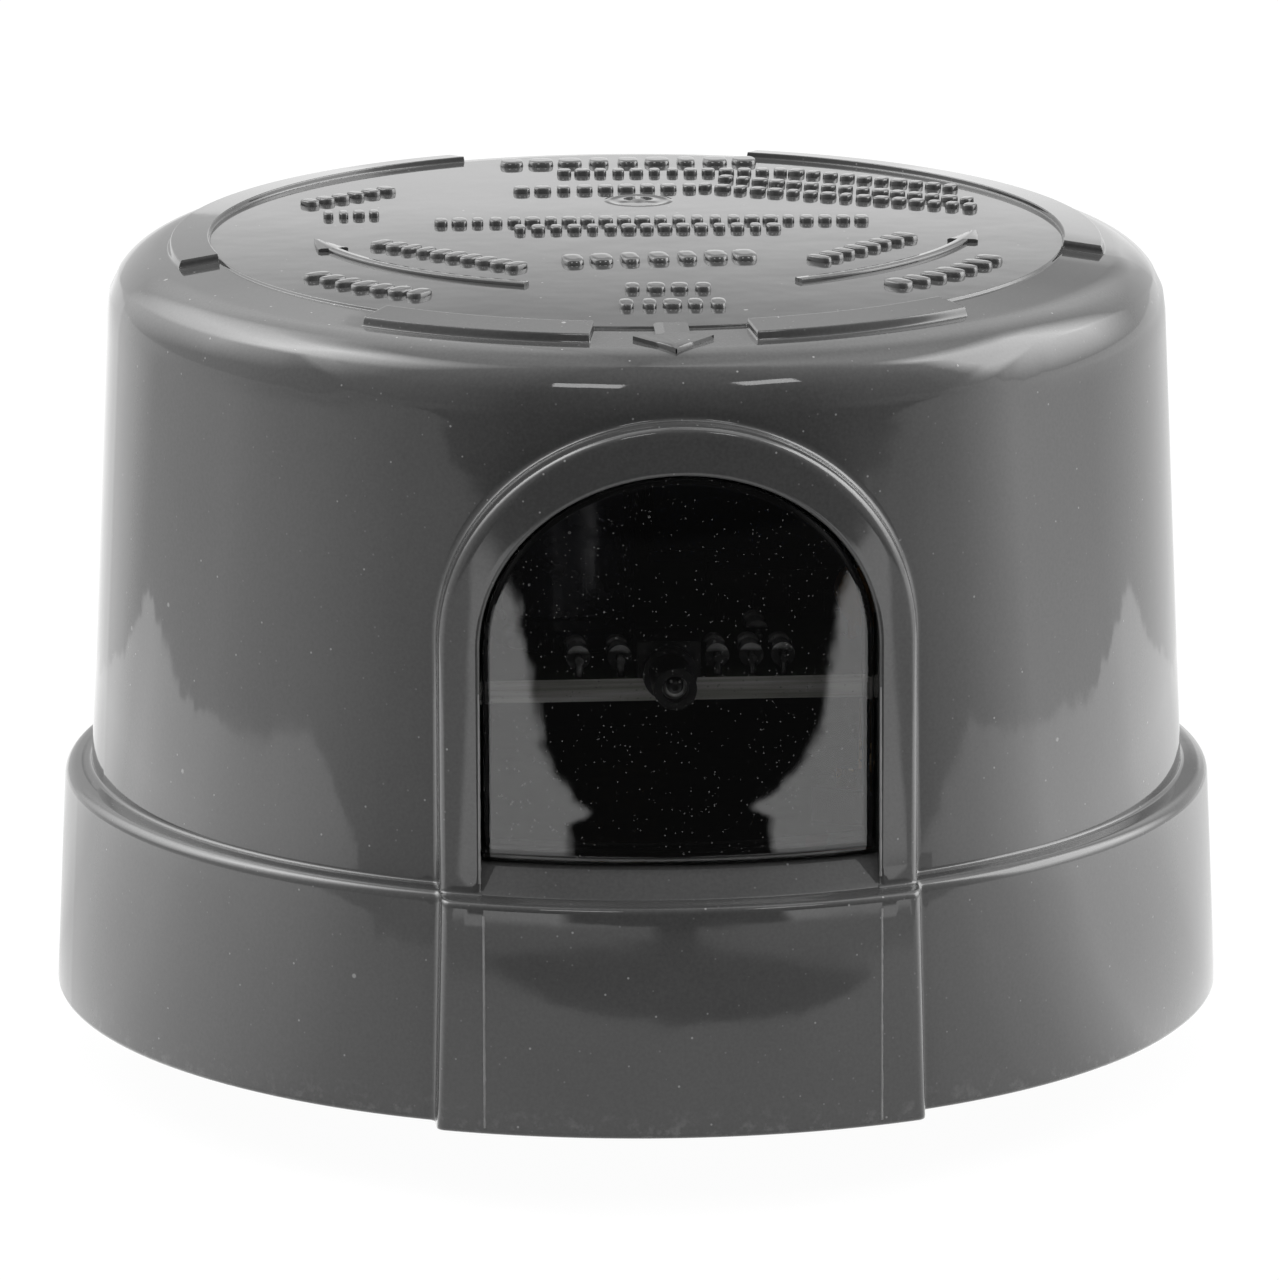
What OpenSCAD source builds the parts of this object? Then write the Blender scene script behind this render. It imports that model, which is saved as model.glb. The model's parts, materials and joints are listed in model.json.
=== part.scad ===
// Twist-lock photocell switch: a moulded cover with an arched window, a plug base with three locking
// blades, and the switching circuit inside. Millimetres, +Z up. The origin is on the axis, on the face
// where the gasket seats, and the window looks along -Y.

/* [Cover] */
// Outside diameter of the skirt at its rim
rim_d = 84; // [82:0.5:88]
// How far the skirt hangs below the gasket's seating face
skirt_drop = 7.5; // [6:0.1:9]
// Height of the dome above the ledge, up to the raised sectors
dome_h = 38.6; // [37:0.2:42]
// Thickness of the cover's wall
wall = 2; // [1.8:0.1:2.3]
// Width of the ledge between the skirt and the dome
ledge_w = 1.9; // [1.6:0.1:2.2]
// Draft of the skirt and of the dome, in degrees
draft = 2.5; // [1.5:0.1:3]
// Radius of the dome's rounded top edge
top_round = 5.5; // [4.5:0.1:6.5]
// Radius of the ledge's rounded edge
ledge_round = 0.7; // [0.4:0.1:1]

/* [Crown] */
// Radius of the raised disc on the top
disc_r = 30.6; // [28:0.1:31]
// Height of the disc above the crown
disc_rise = 0.25; // [0.2:0.05:0.5]
// Height of the raised sectors above the disc
sector_rise = 0.5; // [0.3:0.05:0.8]
// Width of the raised sectors, outward from the disc's edge
sector_w = 2.4; // [1.5:0.1:2.8]
// Angles from the window's middle where the front sectors start and end
front_sector = [10, 40];
// Angles from the window's middle where the rear sectors start and end
rear_sector = [78, 160];

/* [Window] */
// Width of the window opening
opening_w = 27.6; // [25:0.2:30]
// Distance of the frame's top below the crown
frame_below = 4.75; // [4:0.05:8]
// Rise of the opening's arch
opening_rise = 12.5; // [11:0.1:13]
// Width of the raised frame beside the opening
rib_w = 2.8; // [2.2:0.1:3.4]
// Width of the raised frame over the arch
rib_crown = 3.4; // [2.4:0.1:3.6]
// How far the frame stands out from the dome and the skirt
frame_t = 2.2; // [1.6:0.1:2.6]
// How much wider each side of the frame is at the rim
frame_flare = 0.4; // [0.2:0.1:0.8]
// Rise of the sloped sill from the ledge to the pane
sill_rise = 2.1; // [1.7:0.1:2.4]
// Thickness of the wall in front of the pane's flange
lip_t = 1; // [0.8:0.1:1.2]
// Thickness of the pane
pane_t = 1.5; // [1.2:0.1:1.6]
// How far the pane's raised face stands out from the dome
pane_out = 1.1; // [0.7:0.1:1.4]
// Width of the flange round the pane
pane_flange = 1.6; // [1.2:0.1:2]

/* [Base] */
// Thickness of the base plate
base_t = 3.8; // [3.4:0.1:4.4]
// Height of the collar that locates the base in the dome
collar_h = 4; // [3:0.1:5]
// Thickness of the collar
collar_t = 1.7; // [1.2:0.1:2.2]
// Height of the board above the base plate
board_h = 13.3; // [12:0.1:15]
// Diameter of the posts under the board
post_d = 6.4; // [5.6:0.1:7]
// Distance of the posts' middles from the board's edge
post_inset = 5; // [4.5:0.1:5.5]
// Height of the blade sockets on top of the base
socket_h = 2.5; // [1.5:0.1:3.5]
// Outside diameter of the gasket
gasket_od = 66; // [62:0.5:70]
// Inside diameter of the gasket
gasket_bore = 50; // [46:0.5:54]
// Height of the gasket below the base plate
gasket_t = 3; // [2.6:0.1:3.6]
// Depth of the gasket's groove
groove_d = 0.6; // [0.4:0.1:1]

/* [Blades] */
// Diameter of the circle on which the blades stand
blade_circle = 38.1; // [37:0.1:39]
// Thickness of the blades
blade_t = 1.5; // [1.3:0.1:1.7]
// Length of the blades below the base plate
blade_l = 16; // [15:0.1:16.5]
// Width of the two live blades at the neck
neck_w = 6; // [5:0.1:7]
// Width of the two live blades at the foot
foot_w = 9.5; // [8.5:0.1:11]
// Width of the neutral blade at the neck
neutral_neck_w = 8; // [7:0.1:9]
// Width of the neutral blade at the foot
neutral_foot_w = 12; // [10.5:0.1:13]
// Height of the foot
foot_h = 5.5; // [4.5:0.1:6.5]
// Height of the solder tab above the blade's ears
tab_h = 4.5; // [3.5:0.1:5]

/* [Board] */
// Gap between the board's edge and the dome
board_gap = 2.8; // [2.2:0.1:3.4]
// Gap between the light sensor and the pane
sensor_room = 1.7; // [1:0.1:2.4]
// Thickness of the board
board_t = 1.6; // [1.2:0.1:2]
// Diameter of the screws' shanks
screw_d = 2.9; // [2.5:0.1:3.2]
// Diameter of the light sensor
sensor_d = 3; // [2.6:0.1:3.6]
// Length of the light sensor in front of the board
sensor_l = 5.2; // [4.5:0.1:5.6]
// Diameter of the relay wires
wire_d = 1.5; // [1.2:0.1:1.8]

/* [Circuit parts] */
// Width, depth and height of the relay
relay_size = [19, 15.5, 15];
// Width, depth and height of the film capacitor
film_size = [8.5, 18, 14];
// Diameter of the electrolytic capacitor
can_d = 10; // [8:0.5:11]
// Height of the electrolytic capacitor
can_h = 14; // [12:0.5:18]
// Diameter of the varistor
varistor_d = 13; // [10:0.5:14]
// Diameter of the dropper resistor
dropper_d = 4.6; // [4:0.1:5.5]
// Length of the dropper resistor
dropper_l = 13; // [11:0.5:14]

/* [Clearances] */
// Gap between pieces that seat on each other
seat_gap = 0.05; // [0.02:0.01:0.1]
// Gap round a piece that slips into another
slip_gap = 0.3; // [0.2:0.05:0.4]
// Gap round the raised face of the pane
pane_gap = 0.6; // [0.4:0.1:0.8]

/* [Hidden] */
$fn = 64;

// Heights
rim_z = -skirt_drop;
base_z = gasket_t;
base_top = base_z + base_t;
seat_z = base_top + seat_gap;
ledge_z = seat_z + wall;
crown_z = ledge_z + dome_h - sector_rise - disc_rise;
board_z = base_top + board_h;
board_top = board_z + board_t;
spring_z = crown_z - frame_below - rib_crown - opening_rise;
socket_top = base_top + socket_h;
ear_h = 1.5;
tab_top = socket_top + ear_h + tab_h;
tip_z = base_z - blade_l;

// Radii of the outside of the cover
side_wall = wall / cos(draft);
function skirt_r(z) = rim_d / 2 - (z - rim_z) * tan(draft);
function dome_r(z) = skirt_r(ledge_z) - ledge_w - (z - ledge_z) * tan(draft);
round_z = crown_z - top_round;
round_r = dome_r(round_z) - top_round / cos(draft);
base_r = skirt_r(base_top) - side_wall - slip_gap;
collar_r = dome_r(base_top + collar_h) - side_wall - slip_gap;
blade_r = blade_circle / 2;
board_r = dome_r(board_top) - side_wall - board_gap;
board_front = dome_r(board_top) - lip_t - seat_gap - pane_t - sensor_room - sensor_l - slip_gap;
post_r = board_r - post_inset;
past = 1;

// Outline of an arch that stands on two straight sides
arch_steps = 40;
function arch(half, rise, foot_z, foot_half) = concat(
  [[-foot_half, foot_z], [foot_half, foot_z]],
  [for (i = [0:arch_steps])
    let(t = 180 * i / arch_steps)
    [half * cos(t), spring_z + rise * sin(t)]]);

// Outline in X and Z, pushed out along -Y from the axis
module forward(points) {
  rotate([90, 0, 0])
    linear_extrude(rim_d)
      polygon(points);
}

// Ring between two radii and two heights, turned over an angle that starts at from
module ring(r0, r1, z0, z1, from = 0, angle = 360) {
  rotate([0, 0, from])
    rotate_extrude(angle = angle)
      polygon([[r0, z0], [r1, z0], [r1, z1], [r0, z1]]);
}

// Solid that fills the dome's cone, shrunk by depth, between two heights
module cone_fill(depth, z0, z1) {
  rotate_extrude()
    polygon([[0, z0], [dome_r(z0) - depth, z0], [dome_r(z1) - depth, z1], [0, z1]]);
}

module outside_profile() {
  edge_z = ledge_z - ledge_round;
  edge_r = skirt_r(edge_z) - ledge_round / cos(draft);
  polygon([[0, rim_z], [skirt_r(rim_z), rim_z],
    [edge_r + ledge_round * cos(draft), edge_z + ledge_round * sin(draft)], [edge_r, ledge_z],
    [dome_r(ledge_z), ledge_z],
    [round_r + top_round * cos(draft), round_z + top_round * sin(draft)], [round_r, crown_z],
    [0, crown_z]]);
  translate([edge_r, edge_z])
    circle(ledge_round);
  translate([round_r, round_z])
    circle(top_round);
}

module cavity_profile() {
  inner_round = top_round - wall;
  polygon([[0, rim_z - past], [skirt_r(rim_z - past) - side_wall, rim_z - past],
    [skirt_r(seat_z) - side_wall, seat_z], [dome_r(seat_z) - side_wall, seat_z],
    [round_r + inner_round * cos(draft), round_z + inner_round * sin(draft)],
    [round_r, crown_z - wall], [0, crown_z - wall]]);
  translate([round_r, round_z])
    circle(inner_round);
}

frame_half = opening_w / 2 + rib_w;
frame_rise = opening_rise + rib_crown;
frame_top = spring_z + frame_rise;

// Part of the frame that stands on the dome
module upper_frame() {
  intersection() {
    forward(arch(frame_half, frame_rise, ledge_z - ledge_round, frame_half));
    cone_fill(-frame_t, ledge_z - ledge_round, frame_top + past);
  }
}

// Part of the frame that stands on the skirt, with the sill on top
module lower_frame() {
  edge_r = skirt_r(ledge_z) + frame_t;
  sill_r = dome_r(ledge_z) + pane_out - pane_gap;
  low_half = frame_half + frame_flare;
  intersection() {
    forward([[-low_half, rim_z], [low_half, rim_z], [frame_half, ledge_z],
      [frame_half, ledge_z + sill_rise + past], [-frame_half, ledge_z + sill_rise + past],
      [-frame_half, ledge_z]]);
    rotate_extrude()
      polygon([[0, rim_z], [skirt_r(rim_z) + frame_t, rim_z],
        [edge_r + ledge_round * tan(draft), ledge_z - ledge_round], [edge_r - ledge_round, ledge_z],
        [edge_r - ledge_w, ledge_z], [sill_r, ledge_z + sill_rise], [0, ledge_z + sill_rise]]);
  }
}

pane_half = opening_w / 2;
pane_foot = ledge_z + sill_rise;

module sectors() {
  top_z = crown_z + disc_rise + sector_rise;
  for (side = [-1, 1])
    for (span = [front_sector, rear_sector])
      ring(disc_r - past, disc_r + sector_w, round_z, top_z,
        -90 + (side > 0 ? span[0] : -span[1]), span[1] - span[0]);
}

// Wedges inside the skirt that hold the base plate up
wedge_h = 2.4;
wedge_angle = 9;
module snap_wedges() {
  top_z = base_z - seat_gap;
  low_z = top_z - wedge_h;
  tip_r = base_r - slip_gap - wall / 4;
  for (a = [45:90:315])
    rotate([0, 0, a - wedge_angle / 2])
      rotate_extrude(angle = wedge_angle)
        polygon([[tip_r, top_z], [skirt_r(top_z) - wall / 2, top_z], [skirt_r(low_z) - wall / 2, low_z],
          [skirt_r(low_z) - side_wall, low_z], [tip_r, top_z - wedge_h / 4]]);
}

module cover() {
  color([0.3, 0.3, 0.3]) {
    difference() {
      union() {
        difference() {
          union() {
            rotate_extrude()
              outside_profile();
            upper_frame();
          }
          forward(arch(pane_half, opening_rise, ledge_z, pane_half));
        }
        lower_frame();
        translate([0, 0, round_z])
          cylinder(h = crown_z + disc_rise - round_z, r = disc_r);
        sectors();
      }
      rotate_extrude()
        cavity_profile();
      intersection() {
        forward(arch(pane_half + pane_flange + seat_gap, opening_rise + pane_flange + seat_gap,
          pane_foot - pane_flange - seat_gap, pane_half + pane_flange + seat_gap));
        cone_fill(lip_t, ledge_z - wall, frame_top);
      }
    }
    snap_wedges();
  }
}

// Pane with a raised face as thick as its flange
module window_lens() {
  face_half = pane_half - pane_gap;
  face_rise = opening_rise - pane_gap;
  face_foot = pane_foot + pane_gap / 2;
  flange_face = lip_t + seat_gap;
  color([0.1, 0.1, 0.1, 0.6])
    difference() {
      union() {
        intersection() {
          forward(arch(pane_half + pane_flange, opening_rise + pane_flange, pane_foot - pane_flange,
            pane_half + pane_flange));
          cone_fill(flange_face, ledge_z - wall, frame_top);
        }
        intersection() {
          forward(arch(face_half, face_rise, face_foot, face_half));
          cone_fill(-pane_out, ledge_z - wall, frame_top);
        }
      }
      cone_fill(flange_face + pane_t, ledge_z - wall - past, frame_top + past);
      intersection() {
        forward(arch(face_half - pane_t, face_rise - pane_t, face_foot + pane_t, face_half - pane_t));
        cone_fill(pane_t - pane_out, ledge_z - wall - past, frame_top + past);
      }
    }
}

blade_angles = [210, 330, 90];
blade_necks = [neck_w, neck_w, neutral_neck_w];
blade_feet = [foot_w, foot_w, neutral_foot_w];
// Part of blade i: an outline across and up, cut from the ring on which the blades stand
module blade_slab(i, extra, points) {
  half = blade_t / 2 + extra;
  rotate([0, 0, blade_angles[i]])
    intersection() {
      ring(blade_r - half, blade_r + half, tip_z - past, board_z);
      rotate([90, 0, 90])
        linear_extrude(rim_d / 2)
          polygon(points);
    }
}

// Upright rectangle of a width, between two heights
function upright(width, z0, z1) =
  [[-width / 2, z0], [width / 2, z0], [width / 2, z1], [-width / 2, z1]];

post_gusset = 1.4;
module board_posts() {
  for (a = blade_angles)
    rotate([0, 0, a])
      translate([post_r, 0, 0]) {
        translate([0, 0, base_z + base_t / 2])
          cylinder(h = board_z - base_z - base_t / 2, d = post_d);
        for (side = [0:90:270])
          rotate([90, 0, side])
            translate([0, 0, -post_gusset / 2])
              linear_extrude(post_gusset)
                polygon([[0, base_top - past], [post_d / 2 + post_gusset, base_top - past],
                  [post_d / 2 + post_gusset, base_top], [post_d / 2, base_top + board_h / 2],
                  [0, base_top + board_h / 2]]);
      }
}

module base_plate() {
  socket_wall = 1.6;
  screw_depth = board_h * 0.7;
  window_gap = opening_w + 2 * pane_flange + 2 * wall;
  color([0.08, 0.08, 0.08])
    difference() {
      union() {
        translate([0, 0, base_z])
          cylinder(h = base_t, r = base_r);
        difference() {
          ring(collar_r - collar_t, collar_r, base_top - past, base_top + collar_h);
          translate([-window_gap / 2, -rim_d, base_top])
            cube([window_gap, rim_d, collar_h + past]);
        }
        board_posts();
        for (i = [0:2])
          blade_slab(i, socket_wall, upright(blade_necks[i] + 2 * socket_wall, base_top - past, socket_top));
      }
      ring(gasket_bore / 2 - seat_gap, gasket_od / 2 + seat_gap, base_z - past, base_z + groove_d + seat_gap);
      for (i = [0:2])
        blade_slab(i, seat_gap, upright(blade_necks[i] + 2 * seat_gap, base_z - past, socket_top + past));
      for (a = blade_angles)
        rotate([0, 0, a])
          translate([post_r, 0, board_z - screw_depth - past])
            cylinder(h = screw_depth + 2 * past, d = screw_d + 2 * seat_gap);
    }
}

module gasket() {
  color([0.12, 0.12, 0.12])
    ring(gasket_bore / 2, gasket_od / 2, 0, base_z + groove_d);
}

module blade(i) {
  n = blade_necks[i] / 2;
  heel = n + blade_feet[i] - blade_necks[i];
  tab = n / 2;
  ear = n + 1.2;
  cut = 1.4;
  ear_top = socket_top + ear_h;
  color([0.75, 0.6, 0.3])
    blade_slab(i, 0, [[cut - heel, tip_z], [n - cut, tip_z], [n, tip_z + cut], [n, socket_top],
      [ear, socket_top], [ear, ear_top], [tab, ear_top], [tab, tab_top], [-tab, tab_top],
      [-tab, ear_top], [-ear, ear_top], [-ear, socket_top], [-n, socket_top],
      [-n, tip_z + foot_h], [-heel, tip_z + foot_h], [-heel, tip_z + cut]]);
}

module circuit_board() {
  hole = screw_d + 2 * slip_gap;
  color([0.35, 0.4, 0.2])
    difference() {
      translate([0, 0, board_z])
        cylinder(h = board_t, r = board_r);
      translate([-board_r, -board_front - board_r, board_z - past])
        cube([2 * board_r, board_r, board_t + 2 * past]);
      for (a = blade_angles)
        rotate([0, 0, a])
          translate([post_r, 0, board_z - past])
            cylinder(h = board_t + 2 * past, d = hole);
    }
}

module board_screws() {
  head_d = 2 * screw_d;
  head_h = 0.75 * screw_d;
  slot_w = head_h / 3;
  color([0.7, 0.7, 0.7])
    for (a = blade_angles)
      rotate([0, 0, a])
        translate([post_r, 0, board_top])
          difference() {
            union() {
              cylinder(h = head_h, d = head_d);
              translate([0, 0, -board_t - board_h / 2])
                cylinder(h = board_t + board_h / 2 + head_h / 2, d = screw_d);
            }
            for (turn = [0, 90])
              rotate([0, 0, turn])
                translate([-head_d / 3, -slot_w / 2, head_h / 2])
                  cube([2 * head_d / 3, slot_w, head_h]);
          }
}

// Thin round lead that runs straight down to the board
lead_d = 0.6;
leg_d = 0.5;
module leg(x, y, z) {
  translate([x, y, board_top])
    cylinder(h = z - board_top, d = leg_d);
}

// Thin round lead along X from x0 to x1
module lead_x(x0, x1, y, z) {
  translate([x0, y, z])
    rotate([0, 90, 0])
      cylinder(h = x1 - x0, d = lead_d);
}

sensor_z = board_top + 0.5;
holder_size = [4.4, 4, 2.6];
sensor_pitch = 2.54;

module light_sensor() {
  rim_t = 0.8;
  bore_d = 0.62 * sensor_d;
  bore_depth = 0.3 * sensor_d;
  back = -board_front - slip_gap;
  lead_l = holder_size[1] + 2 * slip_gap;
  color([0.05, 0.05, 0.05]) {
    translate([0, back, sensor_z])
      rotate([90, 0, 0]) {
        cylinder(h = rim_t, d = sensor_d + rim_t);
        difference() {
          cylinder(h = sensor_l, d = sensor_d);
          translate([0, 0, sensor_l - bore_depth])
            cylinder(h = bore_depth + past, d = bore_d);
        }
        translate([0, 0, sensor_l - bore_depth])
          sphere(d = 0.85 * bore_d);
      }
    for (side = [-1, 1]) {
      translate([side * sensor_pitch / 2, back - rim_t / 2, sensor_z])
        rotate([-90, 0, 0])
          cylinder(h = lead_l + rim_t / 2 + lead_d / 2, d = lead_d);
      leg(side * sensor_pitch / 2, back + lead_l, sensor_z);
    }
  }
}

module sensor_holder() {
  channel = lead_d + slip_gap;
  color([0.05, 0.05, 0.05])
    translate([0, -board_front, board_top])
      difference() {
        translate([-holder_size[0] / 2, 0, 0])
          cube(holder_size);
        for (side = [-1, 1])
          translate([side * sensor_pitch / 2 - channel / 2, -past, -past])
            cube([channel, holder_size[1] + 2 * past, past + sensor_z - board_top + channel / 2]);
      }
}

relay_at = board_r * [0.32, 0.41];
module relay() {
  lip = 0.4;
  color([0.1, 0.2, 0.4]) {
    translate([relay_at[0] - relay_size[0] / 2, relay_at[1] - relay_size[1] / 2, board_top])
      cube([relay_size[0], relay_size[1], 2 * lip]);
    translate([relay_at[0] - relay_size[0] / 2 + lip, relay_at[1] - relay_size[1] / 2 + lip, board_top])
      cube([relay_size[0] - 2 * lip, relay_size[1] - 2 * lip, relay_size[2]]);
  }
}

film_at = board_r * [-0.59, 0.12];
module film_capacitor() {
  foot = 0.5;
  color([0.7, 0.6, 0.15])
    translate([film_at[0] - film_size[0] / 2, film_at[1] - film_size[1] / 2, board_top])
      difference() {
        cube(film_size);
        translate([-past, 2 * foot, -past])
          cube([film_size[0] + 2 * past, film_size[1] - 4 * foot, past + foot]);
      }
}

can_back = 11.8;
can_at = [-0.19 * board_r, can_back - board_front];
module electrolytic_capacitor() {
  r = can_d / 2;
  bead = 0.35;
  color([0.1, 0.1, 0.15])
    translate([can_at[0], can_at[1], board_top])
      rotate_extrude()
        polygon([[0, 0], [r - bead, 0], [r, bead], [r, 4 * bead], [r - bead, 5 * bead],
          [r - bead, 7 * bead], [r, 8 * bead], [r, can_h - bead], [r - bead, can_h],
          [r - 2 * bead, can_h], [r - 2 * bead, can_h - bead], [0, can_h - bead]]);
}

varistor_at = board_r * [0.65, -0.08];
module varistor() {
  t = 4.2;
  stand = 1.6;
  edge = 1.2;
  mid_z = board_top + stand + varistor_d / 2;
  color([0.1, 0.3, 0.55]) {
    translate([varistor_at[0] - t / 2, varistor_at[1], mid_z])
      rotate([0, 90, 0])
        rotate_extrude()
          polygon([[0, 0], [varistor_d / 2 - edge, 0], [varistor_d / 2, edge],
            [varistor_d / 2, t - edge], [varistor_d / 2 - edge, t], [0, t]]);
    for (side = [-1, 1])
      leg(varistor_at[0], varistor_at[1] + side * varistor_d / 4, mid_z);
  }
}

// Axial part along X with its leads bent down to the board
module axial(x, y, l, d, waist, span) {
  mid_z = board_top + d / 2 + slip_gap;
  translate([x - l / 2, y, mid_z])
    rotate([0, 90, 0])
      rotate_extrude()
        polygon([[0, 0], [d / 2, 0], [d / 2, l / 4], [d / 2 - waist, l / 3],
          [d / 2 - waist, 2 * l / 3], [d / 2, 3 * l / 4], [d / 2, l], [0, l]]);
  lead_x(x - span / 2 - lead_d / 2, x + span / 2 + lead_d / 2, y, mid_z);
  leg(x - span / 2, y, mid_z);
  leg(x + span / 2, y, mid_z);
}

dropper_at = board_r * [-0.29, 0.65];
module dropper_resistor() {
  color([0.45, 0.6, 0.45])
    axial(dropper_at[0], dropper_at[1], dropper_l, dropper_d, dropper_d / 12, dropper_l + 4 * lead_d);
}

diode_rows = board_r * [-0.2, -0.08, 0.04, 0.16];
module rectifier_diodes() {
  x = -0.21 * board_r;
  l = 5;
  d = 2.6;
  color([0.06, 0.06, 0.06])
    for (y = diode_rows)
      axial(x, y, l, d, d / 50, l + 6 * lead_d);
}

// Resistors that lie front to back; each number is how far the body's front is behind the board's front edge
resistor_x = board_r * [-0.182, -0.097, 0.103, 0.173, 0.238, 0.203];
resistor_back = [1.7, 1.7, 1.7, 1.7, 1.7, 8.3];
module bias_resistors() {
  d = 1.7;
  l = 3.4;
  color([0.7, 0.55, 0.35])
    for (i = [0:len(resistor_x) - 1])
      translate([resistor_x[i], resistor_back[i] + l / 2 - board_front, 0])
        rotate([0, 0, 90])
          axial(0, 0, l, d, d / 12, l + 3 * lead_d);
}

transistor_at = board_r * [-0.48, -0.45];
module switching_transistor() {
  d = 4.8;
  stand = 2;
  pitch = 1.3;
  color([0.06, 0.06, 0.06]) {
    intersection() {
      translate([transistor_at[0], transistor_at[1], board_top + stand])
        cylinder(h = d, d = d);
      translate([transistor_at[0] - d, transistor_at[1] - d / 3, board_top])
        cube([2 * d, d, stand + 2 * d]);
    }
    for (i = [-1:1])
      leg(transistor_at[0] + i * pitch, transistor_at[1], board_top + stand + d / 4);
  }
}

chip_at = board_r * [0.265, -0.265];
module comparator_chip() {
  l = 9.4;
  w = 6.2;
  h = 3.2;
  stand = 0.5;
  pitch = 2.54;
  leg_t = 0.4;
  notch_d = 1.6;
  color([0.06, 0.06, 0.06])
    translate([chip_at[0], chip_at[1], board_top]) {
      difference() {
        translate([-l / 2, -w / 2, stand])
          cube([l, w, h]);
        translate([-l / 2, 0, stand + h / 2])
          cylinder(h = h, d = notch_d);
      }
      for (i = [-1.5:1.5])
        for (side = [-1, 1])
          translate([i * pitch - leg_t, side * (w / 2 + leg_t / 2) - leg_t / 2, 0])
            cube([2 * leg_t, leg_t, stand + h / 2]);
    }
}

ceramic_at = board_r * [[0.44, -0.53], [-0.47, -0.25], [0.51, -0.4]];
module ceramic_capacitors() {
  d = 4.6;
  t = 2;
  stand = 1;
  color([0.75, 0.5, 0.2])
    for (p = ceramic_at) {
      translate([p[0], p[1] + t / 2, board_top + stand + d / 2])
        rotate([90, 0, 0])
          cylinder(h = t, d = d);
      for (side = [-1, 1])
        leg(p[0] + side * d / 4, p[1], board_top + stand + d / 2);
    }
}

// Wire that leaves a blade's tab upward, swings inward, and ends square on the board's underside
module tab_wire(i) {
  bend = (board_z - tab_top) / 2;
  colors = [[0.08, 0.08, 0.08], [0.6, 0.1, 0.08], [0.8, 0.8, 0.78]];
  color(colors[i])
    rotate([0, 0, blade_angles[i]])
      for (half = [[tab_top, 0], [board_z, 180]])
        translate([blade_r - bend, 0, half[0]])
          rotate([90, 0, 0])
            rotate([0, 0, half[1]])
              rotate_extrude(angle = 90)
                translate([bend, 0])
                  circle(d = wire_d);
}

cover();
window_lens();
base_plate();
gasket();
blade(0);  // line_blade
blade(1);  // load_blade
blade(2);  // neutral_blade
circuit_board();
board_screws();
light_sensor();
sensor_holder();
relay();
film_capacitor();
electrolytic_capacitor();
varistor();
dropper_resistor();
bias_resistors();
rectifier_diodes();
switching_transistor();
comparator_chip();
ceramic_capacitors();
tab_wire(0);  // line_wire
tab_wire(1);  // load_wire
tab_wire(2);  // neutral_wire
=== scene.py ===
import json
import math

import bmesh
import bpy
import numpy as np
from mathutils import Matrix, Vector


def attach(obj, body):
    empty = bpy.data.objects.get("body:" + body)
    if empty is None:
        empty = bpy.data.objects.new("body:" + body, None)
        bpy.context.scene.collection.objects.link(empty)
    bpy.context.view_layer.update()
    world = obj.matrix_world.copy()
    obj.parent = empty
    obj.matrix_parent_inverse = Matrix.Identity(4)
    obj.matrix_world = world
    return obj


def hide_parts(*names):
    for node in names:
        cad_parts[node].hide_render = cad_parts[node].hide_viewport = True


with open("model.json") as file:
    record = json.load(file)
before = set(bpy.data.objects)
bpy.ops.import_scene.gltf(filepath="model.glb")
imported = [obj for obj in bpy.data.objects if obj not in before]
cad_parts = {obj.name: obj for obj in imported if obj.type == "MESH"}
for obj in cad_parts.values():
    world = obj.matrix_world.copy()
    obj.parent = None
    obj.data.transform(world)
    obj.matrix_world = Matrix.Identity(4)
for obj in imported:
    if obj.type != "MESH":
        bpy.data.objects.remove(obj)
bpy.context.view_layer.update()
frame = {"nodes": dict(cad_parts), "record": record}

nodes = frame["nodes"]
mm = 0.001
rng = np.random.default_rng(7)
scene = bpy.context.scene
print("frame loaded with", len(nodes), "nodes")


# Mesh helpers. Grids hold points in millimetres, as rows x columns x 3, and face outward when their
# columns run to the right and their rows run up.
def gridMesh(name, grids, smooth=True):
    points = []
    faces = []
    start = 0
    for grid in grids:
        rows, cols = grid.shape[:2]
        corner = start + np.arange(rows - 1)[:, None] * cols + np.arange(cols - 1)[None, :]
        faces.append(np.stack([corner, corner + 1, corner + cols + 1, corner + cols], -1).reshape(-1, 4))
        points.append(grid.reshape(-1, 3))
        start += rows * cols
    mesh = bpy.data.meshes.new(name)
    mesh.from_pydata((np.concatenate(points) * mm).tolist(), [], np.concatenate(faces).tolist())
    weld = bmesh.new()
    weld.from_mesh(mesh)
    bmesh.ops.remove_doubles(weld, verts=weld.verts, dist=0.002 * mm)
    bmesh.ops.dissolve_degenerate(weld, edges=weld.edges, dist=0.0005 * mm)
    weld.to_mesh(mesh)
    weld.free()
    mesh.polygons.foreach_set("use_smooth", np.full(len(mesh.polygons), smooth))
    piece = bpy.data.objects.new(name, mesh)
    scene.collection.objects.link(piece)
    return piece


def weightNormals(piece):
    piece.modifiers.new("even normals", "WEIGHTED_NORMAL").keep_sharp = True


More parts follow.
